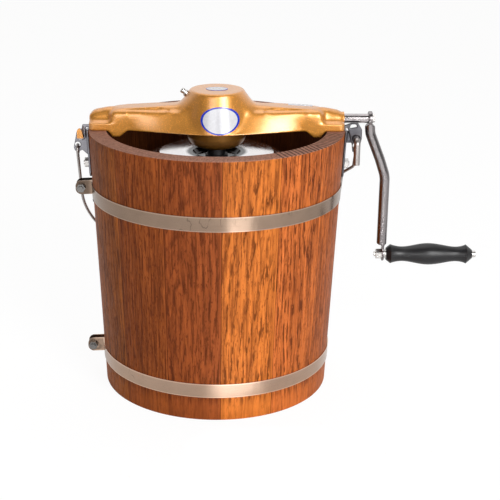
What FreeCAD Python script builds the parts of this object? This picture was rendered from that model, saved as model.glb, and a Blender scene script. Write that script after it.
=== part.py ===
import FreeCAD
import Part
import math
import os

# Hand-cranked ice cream freezer: a staved wooden tub, a steel can with its dasher, and a geared crank frame
# that lies across the rim. Millimetres. Origin at the centre of the tub's foot, X to the crank, Z up.

# Tub
TUB_HEIGHT = 330.0
TUB_RADIUS_TOP = 158.2
TUB_RADIUS_FOOT = 143.4
STAVE_COUNT = 14
STAVE_THICKNESS = 21.6
STAVE_JOINT_ANGLE = 2.4
BOTTOM_RECESS = 12.0
BOTTOM_THICKNESS = 16.0
CROZE_DEPTH = 6.0
CROZE_PLAY = 0.2

# Bands and their clamps
BAND_WIDTH = 18.0
BAND_THICKNESS = 1.2
BAND_SEAT = 0.05
UPPER_BAND_DROP = 75.6
LOWER_BAND_HEIGHT = 39.9
CLAMP_GAP = 10.0
CLAMP_REACH = 22.0
CLAMP_BOLT_INSET = 7.0
CLAMP_BOLT_RADIUS = 3.0
CLAMP_HEX = 10.0
CLAMP_ROUND = 7.5
KEEPER_DROP = 18.5
KEEPER_RADIUS = 4.0
KEEPER_HEIGHT = 2.4

# Ear brackets, one on each side of the tub
STRAP_WIDTH = 20.0
STRAP_THICKNESS = 3.0
STRAP_TOP_DROP = 2.0
STRAP_LENGTH = 60.0
EAR_THICKNESS = 4.0
RIGHT_WEB_DROP = 18.5
LEFT_WEB_DROP = 37.0
EAR_BOLT_DROP = 45.0
EAR_BOLT_RADIUS = 3.0
EAR_BOLT_HEX = 11.0
EAR_BOLT_OVERHANG = 9.6
EAR_BOLT_HEAD_RADIUS = 7.5
EAR_BOLT_HEAD_HEIGHT = 3.0
HOLE_PLAY = 0.3

# Latch pins
RIGHT_PIN_RADIUS = 4.0
RIGHT_PIN_OUT = 14.3
RIGHT_PIN_DROP = 11.3
RIGHT_PIN_LEG = 30.0
LEFT_PIN_RADIUS = 3.0
LEFT_PIN_OUT = 9.2
LEFT_PIN_DROP = 9.0
LATCH_LOBE = 4.0
LATCH_TRAVEL = 8.0
LATCH_GAP = 0.5
LUG_THICKNESS = 4.0
LUG_EAR_GAP = 2.3
LUG_ROOT_HEIGHT = 4.0
LUG_ROOT_RISE = 1.6
LUG_ROOT_DEPTH = 12.0
LUG_TOP_RISE = 6.4
LUG_SHAFT_GAP = 0.2
LUG_WINDOW = ((-8.7, -0.4), (1.1, 1.6), (-1.0, 4.8), (-7.0, 4.8))
PIN_PLAY = 0.05
TAB_WIDTH = 8.0
TAB_HEIGHT = 13.0
TAB_THICKNESS = 3.0
TAB_FOOT = 0.5

# Wire bail
BAIL_WIRE = 3.8
BAIL_RING_RADIUS = 5.2
BAIL_HOLE_RADIUS = 3.6
BAIL_OUT = 14.6
BAIL_AXIS_DROP = 27.8
BAIL_BAR_HEIGHT = 4.4
BAIL_DROP = 252.0
BAIL_SPLAY = 6.0
BAIL_CORNER_LEFT = 162.0
BAIL_CORNER_RIGHT = 150.0
BAIL_JOG_OUT = 1.6
BAIL_JOG_START = 27.0
BAIL_JOG_END = 41.0
BAIL_JOG_BEND = 7.0
BAIL_TUB_GAP = 0.3

# Gear frame casting
ARM_WIDTH = 39.0
ARM_SHOULDER = 25.0
ARM_RIB_WIDTH = 27.0
ARM_RIB_HUB = 30.5
ARM_RIB_END = 26.0
ARM_END_INSET = 27.2
ARM_ROUND = 6.0
FOOT_INSET = 1.2
FOOT_HEIGHT = 11.0
FOOT_ROUND = 6.0
NOSE_RADIUS = 11.8
NOSE_ROUND = 7.0
HUB_RADIUS_FOOT = 46.0
HUB_RADIUS_TOP = 34.0
HUB_HEIGHT = 48.6
HUB_ROUND = 4.0
FLARE_REACH = 50.3
FLARE_MID = (39.9, 33.2)
FLARE_TOP = (33.9, 42.1)
BLEND_START = 12.0
BLEND_END_INSET = 26.0
BLEND_FOOT_WIDTH = 88.8
BLEND_TOP_WIDTH = 46.0
BLEND_HEIGHT = 24.5
FRAME_LUG_DEPTH = 7.5
FRAME_LUG_FOOT = 8.5
FRAME_LUG_SLOPE_OUT = 6.0
FRAME_LUG_SLOPE_IN = 9.5
FRAME_LUG_GAP = 2.6
CHANNEL_WIDTH = 6.4
CHANNEL_INSET = 9.0
CHANNEL_DEPTH = 20.5
CHANNEL_WALL = 18.0

# Bevel gear drive
SHAFT_RISE = 12.4
SHAFT_RADIUS = 5.7
SHAFT_NECK_RADIUS = 5.0
SHAFT_START = 18.0
SHAFT_OVERHANG = 30.0
SHAFT_TANG = 7.0
PINION_TEETH = 12
GEAR_TEETH = 24
GEAR_MODULE = 2.4
GEAR_FACE = 10.0
GEAR_BACKLASH = 0.3
PRESSURE_ANGLE = math.radians(20)
TOOTH_ADDENDUM = 0.8 * GEAR_MODULE
TOOTH_DEDENDUM = 1.1 * GEAR_MODULE
FLANK_POINTS = 4
PINION_RIM = 1.0
GEAR_RIM = 2.0
PINION_HUB_RADIUS = 10.0
PINION_HUB_LENGTH = 9.0
PINION_PIN_RADIUS = 1.5
GEAR_ROOM = 1.6
BUSH_WALL = 2.6
BUSH_LENGTH = 18.0
BUSH_PLAY = 0.03

# Gear cover, a bowl under the hub
COVER_RADIUS = 36.5
COVER_DEPTH = 23.0
COVER_FLOOR_RADIUS = 20.0
COVER_BAND = 9.0
COVER_WALL = 3.6
COVER_SPIGOT = 1.5
COVER_SPIGOT_STEP = 1.5
DRIVE_HUB_RADIUS = 11.0
DRIVE_HUB_OVERHANG = 9.4
DRIVE_HEX = 14.0
DRIVE_HEX_DEPTH = 7.5
DRIVE_HEX_PLAY = 0.4
GEAR_BUSH_LENGTH = 8.0

# Can, lid and dasher
CAN_RADIUS = 83.0
CAN_WALL = 1.2
CAN_FLOOR_GAP = 14.0
CAN_FLOOR = 1.5
LID_DROP = 35.0
LID_THICKNESS = 1.5
LID_SKIRT = 15.0
LID_PLAY = 0.4
LID_ROUND = 2.4
LID_EMBOSS = (26.0, 75.0)
LID_EMBOSS_RISE = 5.0
LID_EMBOSS_SLOPE = 4.0
LID_HUB_FLANGE = 14.0
LID_HUB_FLANGE_HEIGHT = 2.0
LID_HUB_GAP = 0.6
PIVOT_RADIUS = 6.0
PIVOT_CUP_RADIUS = 14.0
PIVOT_CUP_HEIGHT = 8.0
PIVOT_CUP_FLOOR = 2.0
PIVOT_FLANGE = 2.0
PIVOT_PLAY = 0.1
STUD_RADIUS = 3.0
STUD_HEIGHT = 8.5
STEM_RADIUS = 4.5
STEM_PLAY = 0.7
STEM_SQUARE = 7.0
STEM_SQUARE_PLAY = 0.4
STEM_SQUARE_LENGTH = 11.0
DASHER_FOOT_RADIUS = 8.0
DASHER_FOOT_HEIGHT = 14.0
DASHER_SEAT = 0.3
DASHER_BAR = 8.0
DASHER_BAR_WIDTH = 10.0
DASHER_LOW = 31.5
DASHER_HIGH = 38.0
DASHER_POST_WIDTH = 6.0
PADDLE_RADIUS = 34.0
BLADE_WIDTH = 11.0
BLADE_THICKNESS = 8.0
BLADE_GAP = 1.3
BLADE_OVERHANG = 15.0

# Crank and grip
CRANK_ROD = 12.7
CRANK_EYE_RADIUS = 9.0
CRANK_EYE_THICKNESS = 5.0
LOWER_EYE_THICKNESS = 3.0
LOWER_EYE_SHIFT = 1.7
CRANK_THROAT = 14.0
CRANK_THROW = 177.4
CRANK_OFFSET = 21.8
CRANK_NECK_DROP = 6.5
CRANK_BEND_START = 34.0
CRANK_BEND_MID = 52.0
CRANK_BEND_END = 74.0
CRANK_BEND_MID_SHARE = 0.66
CRANK_BEND_RADIUS = 40.0
CRANK_BOLT_RADIUS = 3.0
CRANK_BOLT_DEPTH = 12.0
CRANK_BOLT_HEX = 9.0
CRANK_BOLT_HEAD = 2.4
CRANK_WASHER_RADIUS = 6.0
CRANK_WASHER_THICKNESS = 0.8
GRIP_LENGTH = 110.0
GRIP_START_RADIUS = 7.8
GRIP_TIP_RADIUS = 5.6
GRIP_PROFILE = (
    (0.05, 12.3), (0.10, 10.6), (0.18, 9.4), (0.27, 10.3), (0.38, 12.6), (0.49, 13.8),
    (0.62, 12.4), (0.71, 10.6), (0.80, 9.4), (0.87, 10.0), (0.93, 12.2),
)
GRIP_BOLT_RADIUS = 3.2
GRIP_HEAD_RADIUS = 4.3
GRIP_PLAY = 0.08
GRIP_END_PLAY = 0.3
GRIP_WASHER_RADIUS = 5.5
GRIP_WASHER_THICKNESS = 2.7
GRIP_NUT_HEX = 11.5
GRIP_NUT_HEIGHT = 7.0
GRIP_BOLT_STICKOUT = 2.5
GRIP_BOLT_HEAD = 4.6

# Small trim
FITTING_RADIUS = 3.2
FITTING_LENGTH = 10.0
FITTING_PLACE = (-34.5, 40.6)
FITTING_SLOPE = (-0.77, 0.64)
LABEL_THICKNESS = 0.3
LABEL_SEAT = 0.05
FRONT_LABEL = (47.0, 33.0)
FRONT_LABEL_RISE = 18.0
FRONT_LABEL_SHIFT = 4.1
TOP_LABEL = (27.0, 20.0)
ARM_LABEL = (30.0, 8.0)
ARM_LABEL_INSET = 54.8
ARM_LABEL_SHIFT = 7.0

# Sizes that follow from the ones above
RIM = TUB_HEIGHT
SHAFT_Z = RIM + SHAFT_RISE
EAR_FRONT = -EAR_THICKNESS / 2
LUG_BACK = EAR_FRONT - LUG_EAR_GAP
LUG_FRONT = LUG_BACK - LUG_THICKNESS
BAIL_Z = RIM - BAIL_AXIS_DROP
BAIL_X = TUB_RADIUS_TOP + BAIL_OUT
ARM_END = TUB_RADIUS_TOP - ARM_END_INSET
FOOT_END = TUB_RADIUS_TOP - FOOT_INSET
HUB_TOP = RIM + HUB_HEIGHT
BUSH_RADIUS = SHAFT_RADIUS + BUSH_WALL
CONE_DISTANCE = GEAR_MODULE * math.hypot(GEAR_TEETH, PINION_TEETH) / 2
PINION_PITCH = GEAR_MODULE * PINION_TEETH / 2
GEAR_PITCH = GEAR_MODULE * GEAR_TEETH / 2
PINION_BACK = GEAR_PITCH + 2.0
INNER_BUSH_X = PINION_BACK + PINION_HUB_LENGTH + GEAR_ROOM
COVER_FLOOR_Z = RIM - COVER_DEPTH
DRIVE_HUB_Z = COVER_FLOOR_Z - DRIVE_HUB_OVERHANG
GEAR_BACK_Z = SHAFT_Z - PINION_PITCH - GEAR_RIM - TOOTH_DEDENDUM
BOTTOM_TOP = BOTTOM_RECESS + BOTTOM_THICKNESS
CAN_Z = BOTTOM_TOP + CAN_FLOOR_GAP
LID_TOP = RIM - LID_DROP
CAN_TOP = LID_TOP - LID_THICKNESS
SOCKET_Z = SHAFT_Z - 2.5
SHAFT_END = FOOT_END + SHAFT_OVERHANG
CRANK_X = SHAFT_END + CRANK_EYE_THICKNESS / 2
GRIP_Z = SHAFT_Z - CRANK_THROW
LOWER_EYE_X = CRANK_X + CRANK_OFFSET + LOWER_EYE_SHIFT
GRIP_X = LOWER_EYE_X + LOWER_EYE_THICKNESS / 2 + GRIP_WASHER_THICKNESS + GRIP_END_PLAY


def vec(x, y, z):
    return FreeCAD.Vector(x, y, z)


X_AXIS = vec(1, 0, 0)
Y_AXIS = vec(0, 1, 0)
Z_AXIS = vec(0, 0, 1)
CENTRE = vec(0, 0, 0)


def save(shape, node):
    shape.exportStep("parts/" + node + ".step")


def tub_radius(z):
    share = z / TUB_HEIGHT
    return TUB_RADIUS_FOOT + (TUB_RADIUS_TOP - TUB_RADIUS_FOOT) * share


def box(x0, x1, y0, y1, z0, z1):
    return Part.makeBox(x1 - x0, y1 - y0, z1 - z0, vec(x0, y0, z0))


def rod(radius, start, end):
    return Part.makeCylinder(radius, start.distanceToPoint(end), start, end - start)


def ring(outer, inner, start, end):
    return rod(outer, start, end).cut(rod(inner, start, end))


def plate_xz(points, y0, y1):
    corners = [vec(x, y0, z) for x, z in points]
    face = Part.Face(Part.makePolygon(corners + corners[:1]))
    return face.extrude(vec(0, y1 - y0, 0))


def turned(outline, angle=360):
    """Turn an outline of (radius, height) points about Z."""
    corners = [vec(r, 0, z) for r, z in outline]
    face = Part.Face(Part.makePolygon(corners + corners[:1]))
    return face.revolve(CENTRE, Z_AXIS, angle)


def aim(shape, place, direction):
    """Carry a shape made along Z at the origin to a place and direction."""
    turn = FreeCAD.Rotation(Z_AXIS, direction)
    return shape.transformGeometry(FreeCAD.Placement(place, turn).toMatrix())


def hexagon(flats, length):
    corners = []
    for corner in range(6):
        angle = math.radians(60 * corner)
        corners.append(vec(flats / math.sqrt(3) * math.cos(angle), flats / math.sqrt(3) * math.sin(angle), 0))
    return Part.Face(Part.makePolygon(corners + corners[:1])).extrude(vec(0, 0, length))


def mirror_x(shape):
    return shape.mirror(CENTRE, X_AXIS)


def join(shapes):
    whole = shapes[0].multiFuse(shapes[1:])
    return whole.removeSplitter()


def round_edges(shape, radius, wanted):
    edges = [edge for edge in shape.Edges if wanted(edge)]
    return shape.makeFillet(radius, edges)


def rounded_path(points, radii):
    """A wire of straight runs through the points, with a tangent arc of a given radius at each inner one."""
    edges = []
    start = points[0]
    for before, corner, after, radius in zip(points, points[1:], points[2:], radii):
        inward = (before - corner).normalize()
        outward = (after - corner).normalize()
        half_turn = (math.pi - inward.getAngle(outward)) / 2
        reach = radius * math.tan(half_turn)
        arc_start = corner + inward * reach
        arc_end = corner + outward * reach
        middle = (inward + outward).normalize()
        arc_middle = corner + middle * (radius / math.cos(half_turn) - radius)
        edges.append(Part.LineSegment(start, arc_start).toShape())
        edges.append(Part.Arc(arc_start, arc_middle, arc_end).toShape())
        start = arc_end
    edges.append(Part.LineSegment(start, points[-1]).toShape())
    return Part.Wire(edges)


def swept_round(path, radius):
    first = path.OrderedEdges[0]
    start = first.Vertexes[0].Point
    profile = Part.Wire(Part.makeCircle(radius, start, first.tangentAt(first.FirstParameter)))
    return path.makePipeShell([profile], True, False)


# Tub

def ear_bolt_z():
    return RIM - EAR_BOLT_DROP


def stave(number):
    """One stave, grooved for the bottom and bored for an ear bolt where one passes."""
    outline = [
        (TUB_RADIUS_FOOT - STAVE_THICKNESS, 0),
        (TUB_RADIUS_FOOT, 0),
        (TUB_RADIUS_TOP, RIM),
        (TUB_RADIUS_TOP - STAVE_THICKNESS, RIM),
    ]
    groove = ((BOTTOM_TOP, 0), (BOTTOM_TOP, CROZE_DEPTH), (BOTTOM_RECESS, CROZE_DEPTH), (BOTTOM_RECESS, 0))
    for z, depth in groove:
        outline.append((tub_radius(z) - STAVE_THICKNESS + depth, z))
    pitch = 360 / STAVE_COUNT
    body = turned(outline, pitch)
    body.rotate(CENTRE, Z_AXIS, STAVE_JOINT_ANGLE - 90 + pitch * number)
    reach = TUB_RADIUS_TOP + CLAMP_REACH
    bolt_hole = rod(EAR_BOLT_RADIUS + HOLE_PLAY, vec(-reach, 0, ear_bolt_z()), vec(reach, 0, ear_bolt_z()))
    if body.common(bolt_hole).Volume > 0:
        body = body.cut(bolt_hole)
    return body


def tub_bottom():
    edge_low = tub_radius(BOTTOM_RECESS) - STAVE_THICKNESS + CROZE_DEPTH - CROZE_PLAY
    edge_high = tub_radius(BOTTOM_TOP) - STAVE_THICKNESS + CROZE_DEPTH - CROZE_PLAY
    return turned([(0, BOTTOM_RECESS), (edge_low, BOTTOM_RECESS), (edge_high, BOTTOM_TOP), (0, BOTTOM_TOP)])


def pivot_cup():
    floor_z = BOTTOM_TOP + PIVOT_CUP_FLOOR
    body = rod(PIVOT_CUP_RADIUS, vec(0, 0, BOTTOM_TOP), vec(0, 0, BOTTOM_TOP + PIVOT_CUP_HEIGHT))
    return body.cut(rod(PIVOT_RADIUS + PIVOT_PLAY, vec(0, 0, floor_z), vec(0, 0, RIM)))


# Bands, clamps and keeper

def clamp_point(band_z, reach):
    """A point on the clamp's ears, measured out from the tub's side."""
    taper = math.atan2(TUB_RADIUS_TOP - TUB_RADIUS_FOOT, TUB_HEIGHT)
    return vec(-tub_radius(band_z) - reach * math.cos(taper), 0, band_z - reach * math.sin(taper))


def band(band_z):
    low = band_z - BAND_WIDTH / 2
    high = band_z + BAND_WIDTH / 2
    inner_low = tub_radius(low) + BAND_SEAT
    inner_high = tub_radius(high) + BAND_SEAT
    hoop = turned([
        (inner_low, low),
        (inner_low + BAND_THICKNESS, low),
        (inner_high + BAND_THICKNESS, high),
        (inner_high, high),
    ])
    hoop = hoop.cut(box(-2 * TUB_RADIUS_TOP, 0, -CLAMP_GAP / 2, CLAMP_GAP / 2, 0, RIM))
    bolt = clamp_point(band_z, CLAMP_REACH - CLAMP_BOLT_INSET)
    tip = clamp_point(band_z, CLAMP_REACH)
    drop = band_z - tip.z
    ear_outline = [
        (-inner_low, low),
        (tip.x, low - drop),
        (tip.x, high - drop),
        (-inner_high, high),
    ]
    hole = rod(CLAMP_BOLT_RADIUS + HOLE_PLAY, vec(bolt.x, -RIM, bolt.z), vec(bolt.x, RIM, bolt.z))
    front = plate_xz(ear_outline, -CLAMP_GAP / 2 - BAND_THICKNESS, -CLAMP_GAP / 2)
    front = round_edges(front, CLAMP_ROUND, lambda edge: edge.Length < BAND_THICKNESS + 0.1
                        and edge.CenterOfMass.x < tip.x + 0.1)
    back = front.mirror(CENTRE, Y_AXIS)
    room_low = low - BAND_WIDTH
    room_high = high + BAND_WIDTH
    tub_room = turned([
        (0, room_low),
        (tub_radius(room_low) + BAND_SEAT, room_low),
        (tub_radius(room_high) + BAND_SEAT, room_high),
        (0, room_high),
    ])
    ears = front.fuse(back).cut(tub_room)
    return join([hoop, ears]).cut(hole)


def clamp_bolt(band_z):
    """Bolt along Y, with its head behind and its thread end in front."""
    place = clamp_point(band_z, CLAMP_REACH - CLAMP_BOLT_INSET)
    seat = CLAMP_GAP / 2 + BAND_THICKNESS
    front = -seat - 0.55 * CLAMP_HEX - GRIP_BOLT_STICKOUT
    shank = rod(CLAMP_BOLT_RADIUS, vec(place.x, front, place.z), vec(place.x, seat, place.z))
    head = aim(hexagon(CLAMP_HEX, 0.4 * CLAMP_HEX), vec(place.x, seat, place.z), Y_AXIS)
    return join([shank, head])


def clamp_nut(band_z):
    place = clamp_point(band_z, CLAMP_REACH - CLAMP_BOLT_INSET)
    seat = -CLAMP_GAP / 2 - BAND_THICKNESS
    nut = aim(hexagon(CLAMP_HEX, 0.5 * CLAMP_HEX), vec(place.x, seat, place.z), Y_AXIS * -1)
    return nut.cut(rod(CLAMP_BOLT_RADIUS, vec(place.x, -RIM, place.z), vec(place.x, RIM, place.z)))


def band_keeper():
    """Small domed screw head under the upper clamp."""
    z = RIM - UPPER_BAND_DROP - KEEPER_DROP
    ball = KEEPER_RADIUS ** 2 / (2 * KEEPER_HEIGHT) + KEEPER_HEIGHT / 2
    dome = Part.makeSphere(ball, vec(-tub_radius(z) - KEEPER_HEIGHT + ball, 0, z))
    seat = tub_radius(z + KEEPER_RADIUS) + BAND_SEAT
    keep = box(-TUB_RADIUS_TOP - CLAMP_REACH, -seat, -RIM, RIM, 0, RIM)
    return dome.common(keep)


# Ear brackets and their bolts

def ear_bracket(pin_out, pin_drop, pin_radius, web_drop):
    """Bracket for the right side: a strap on the staves and a plate with a pin hole and a bail hole."""
    top = RIM - STRAP_TOP_DROP
    foot = top - STRAP_LENGTH
    inner_top = tub_radius(top) + BAND_SEAT
    inner_foot = tub_radius(foot) + BAND_SEAT
    strap_outline = [
        (inner_foot, foot),
        (inner_foot + STRAP_THICKNESS, foot),
        (inner_top + STRAP_THICKNESS, top),
        (inner_top, top),
    ]
    strap = plate_xz(strap_outline, -STRAP_WIDTH / 2, STRAP_WIDTH / 2)
    strap = round_edges(strap, STRAP_WIDTH / 3, lambda edge: edge.Length < STRAP_THICKNESS + 0.1
                        and edge.CenterOfMass.z < RIM - STRAP_LENGTH / 2)
    lobe = pin_radius + LATCH_LOBE
    pin_x = TUB_RADIUS_TOP + pin_out
    pin_z = RIM - pin_drop
    bar_foot = BAIL_Z - BAIL_BAR_HEIGHT / 2
    half_bar = BAIL_HOLE_RADIUS + 1.5
    web_low = RIM - web_drop
    web_seat = BAND_SEAT + STRAP_THICKNESS / 2
    web = plate_xz([
        (tub_radius(pin_z + lobe) + web_seat, pin_z + lobe),
        (pin_x, pin_z + lobe),
        (pin_x + lobe, pin_z),
        (BAIL_X + half_bar, bar_foot + BAIL_BAR_HEIGHT),
        (BAIL_X + half_bar - 1.5, bar_foot),
        (BAIL_X - half_bar + 1.5, bar_foot),
        (BAIL_X - half_bar, max(web_low, bar_foot + 1.5)),
        (tub_radius(web_low) + web_seat, web_low),
    ], EAR_FRONT, -EAR_FRONT)
    eye = rod(lobe, vec(pin_x, EAR_FRONT, pin_z), vec(pin_x, -EAR_FRONT, pin_z))
    pin_hole = rod(pin_radius + HOLE_PLAY, vec(pin_x, -RIM, pin_z), vec(pin_x, RIM, pin_z))
    bail_z = BAIL_Z + BAIL_BAR_HEIGHT / 2 + BAIL_HOLE_RADIUS
    bail_hole = rod(BAIL_HOLE_RADIUS, vec(BAIL_X, -RIM, bail_z), vec(BAIL_X, RIM, bail_z))
    bolt_hole = rod(EAR_BOLT_RADIUS + HOLE_PLAY, vec(0, 0, ear_bolt_z()), vec(2 * RIM, 0, ear_bolt_z()))
    return join([strap, web, eye]).cut(pin_hole).cut(bail_hole).cut(bolt_hole)


def ear_bolt():
    """Carriage bolt from inside the right of the tub."""
    z = ear_bolt_z()
    seat = tub_radius(z - EAR_BOLT_HEAD_RADIUS) - STAVE_THICKNESS - HOLE_PLAY
    end = tub_radius(z) + EAR_BOLT_OVERHANG
    ball = EAR_BOLT_HEAD_RADIUS ** 2 / (2 * EAR_BOLT_HEAD_HEIGHT) + EAR_BOLT_HEAD_HEIGHT / 2
    dome = Part.makeSphere(ball, vec(seat - EAR_BOLT_HEAD_HEIGHT + ball, 0, z))
    dome = dome.common(box(0, seat, -RIM, RIM, 0, RIM))
    return join([dome, rod(EAR_BOLT_RADIUS, vec(seat - 0.5, 0, z), vec(end, 0, z))])


def ear_nut():
    z = ear_bolt_z()
    seat = tub_radius(z + EAR_BOLT_HEX / 2) + BAND_SEAT + STRAP_THICKNESS + 0.1
    nut = aim(hexagon(EAR_BOLT_HEX, 0.45 * EAR_BOLT_HEX), vec(seat, 0, z), X_AXIS)
    return nut.cut(rod(EAR_BOLT_RADIUS, vec(0, 0, z), vec(2 * RIM, 0, z)))


# Bail

def bail_point(x, s, tilt):
    """A point of the bail's plane: x across, s along the legs, which leave the rings in front of the axis."""
    y = -BAIL_RING_RADIUS * math.cos(tilt) + s * math.sin(tilt)
    z = BAIL_Z - BAIL_RING_RADIUS * math.sin(tilt) - s * math.cos(tilt)
    return vec(x, y, z)


def bail_tilt():
    """The angle at which the hanging bail's middle comes to rest behind the tub."""
    low = 0.0
    high = math.pi / 2
    for _ in range(50):
        tilt = (low + high) / 2
        middle = bail_point(0, BAIL_DROP, tilt)
        room = middle.y - tub_radius(middle.z) - BAIL_WIRE / 2 - BAIL_TUB_GAP
        if room < 0:
            low = tilt
        else:
            high = tilt
    return high


def bail():
    tilt = bail_tilt()
    jog_x = TUB_RADIUS_TOP + BAIL_JOG_OUT
    corners = [
        (-BAIL_X, 0),
        (-BAIL_X - BAIL_SPLAY, BAIL_DROP),
        (jog_x, BAIL_DROP),
        (jog_x, BAIL_JOG_END),
        (BAIL_X, BAIL_JOG_START),
        (BAIL_X, 0),
    ]
    points = [bail_point(x, s, tilt) for x, s in corners]
    path = rounded_path(points, [BAIL_CORNER_LEFT, BAIL_CORNER_RIGHT, BAIL_JOG_BEND, BAIL_JOG_BEND])
    wire = swept_round(path, BAIL_WIRE / 2)
    rings = []
    for x in (-BAIL_X, BAIL_X):
        rings.append(Part.makeTorus(BAIL_RING_RADIUS, BAIL_WIRE / 2, vec(x, 0, BAIL_Z), X_AXIS))
    return wire.multiFuse(rings)


# Gear frame casting

def frame_arms():
    half = ARM_WIDTH / 2
    body = box(-ARM_END, ARM_END, -half, half, RIM, RIM + ARM_SHOULDER)
    body = round_edges(body, ARM_ROUND, lambda edge: edge.CenterOfMass.z > RIM + 1)
    half_rib = ARM_RIB_WIDTH / 2
    rib = plate_xz([
        (-ARM_END + ARM_ROUND, RIM + ARM_ROUND),
        (ARM_END - ARM_ROUND, RIM + ARM_ROUND),
        (ARM_END - ARM_ROUND, RIM + ARM_RIB_END),
        (HUB_RADIUS_FOOT, RIM + ARM_RIB_HUB),
        (-HUB_RADIUS_FOOT, RIM + ARM_RIB_HUB),
        (-ARM_END + ARM_ROUND, RIM + ARM_RIB_END),
    ], -half_rib, half_rib)
    rib = round_edges(rib, 2.0, lambda edge: edge.CenterOfMass.z > RIM + ARM_SHOULDER)
    return [body, rib]


def frame_end():
    """Right end of an arm: the nose round the shaft and the foot on the rim."""
    start = ARM_END - 2 * ARM_ROUND
    nose = rod(NOSE_RADIUS, vec(start, 0, SHAFT_Z), vec(FOOT_END, 0, SHAFT_Z))
    nose = round_edges(nose, NOSE_ROUND, lambda edge: edge.CenterOfMass.x > FOOT_END - 0.1 and edge.Closed)
    half = ARM_WIDTH / 2
    foot = box(start, FOOT_END, -half, half, RIM, RIM + FOOT_HEIGHT)
    foot = round_edges(foot, FOOT_ROUND, lambda edge: edge.CenterOfMass.x > FOOT_END - 0.1
                       and abs(edge.CenterOfMass.y) > half - 0.1)
    foot = round_edges(foot, 2.0, lambda edge: edge.CenterOfMass.z > RIM + FOOT_HEIGHT - 0.1
                       and edge.CenterOfMass.x > start + 1)
    inner_wall = tub_radius(RIM - FRAME_LUG_DEPTH) - STAVE_THICKNESS
    outer = inner_wall - FRAME_LUG_GAP
    lug = plate_xz([
        (outer, RIM + 1),
        (outer, RIM),
        (outer - FRAME_LUG_SLOPE_OUT, RIM - FRAME_LUG_DEPTH),
        (outer - FRAME_LUG_SLOPE_OUT - FRAME_LUG_FOOT, RIM - FRAME_LUG_DEPTH),
        (outer - FRAME_LUG_SLOPE_OUT - FRAME_LUG_FOOT - FRAME_LUG_SLOPE_IN, RIM),
        (outer - FRAME_LUG_SLOPE_OUT - FRAME_LUG_FOOT - FRAME_LUG_SLOPE_IN, RIM + 1),
    ], -half, half)
    return [nose, foot, lug]


def frame_blend():
    """Web that narrows from the hub's foot to the right arm."""
    sections = []
    hub_end = (BLEND_START, BLEND_FOOT_WIDTH, BLEND_TOP_WIDTH)
    arm_end = (ARM_END - BLEND_END_INSET, ARM_WIDTH, ARM_WIDTH - 2)
    for x, foot, top in (hub_end, arm_end):
        sections.append(Part.makePolygon([
            vec(x, -foot / 2, RIM),
            vec(x, foot / 2, RIM),
            vec(x, top / 2, RIM + BLEND_HEIGHT),
            vec(x, -top / 2, RIM + BLEND_HEIGHT),
            vec(x, -foot / 2, RIM),
        ]))
    return Part.makeLoft(sections, True, True)


def frame_hub():
    cone = Part.makeCone(HUB_RADIUS_FOOT, HUB_RADIUS_TOP, HUB_HEIGHT, vec(0, 0, RIM))
    cone = round_edges(cone, HUB_ROUND, lambda edge: edge.CenterOfMass.z > HUB_TOP - 0.1 and edge.Closed)
    low = vec(FLARE_REACH, 0, RIM + ARM_RIB_HUB - 1)
    middle = vec(FLARE_MID[0], 0, RIM + FLARE_MID[1])
    top = vec(FLARE_TOP[0], 0, RIM + FLARE_TOP[1])
    axis_top = vec(0, 0, RIM + FLARE_TOP[1])
    axis_foot = vec(0, 0, RIM + ARM_ROUND)
    foot = vec(FLARE_REACH, 0, RIM + ARM_ROUND)
    edges = [Part.Arc(low, middle, top).toShape()]
    for start, end in ((top, axis_top), (axis_top, axis_foot), (axis_foot, foot), (foot, low)):
        edges.append(Part.LineSegment(start, end).toShape())
    flare = Part.Face(Part.Wire(edges)).revolve(CENTRE, Z_AXIS, 360)
    half_rib = ARM_RIB_WIDTH / 2 + 2
    flare = flare.common(box(-FLARE_REACH, FLARE_REACH, -half_rib, half_rib, RIM, HUB_TOP))
    return [cone, flare]


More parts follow.
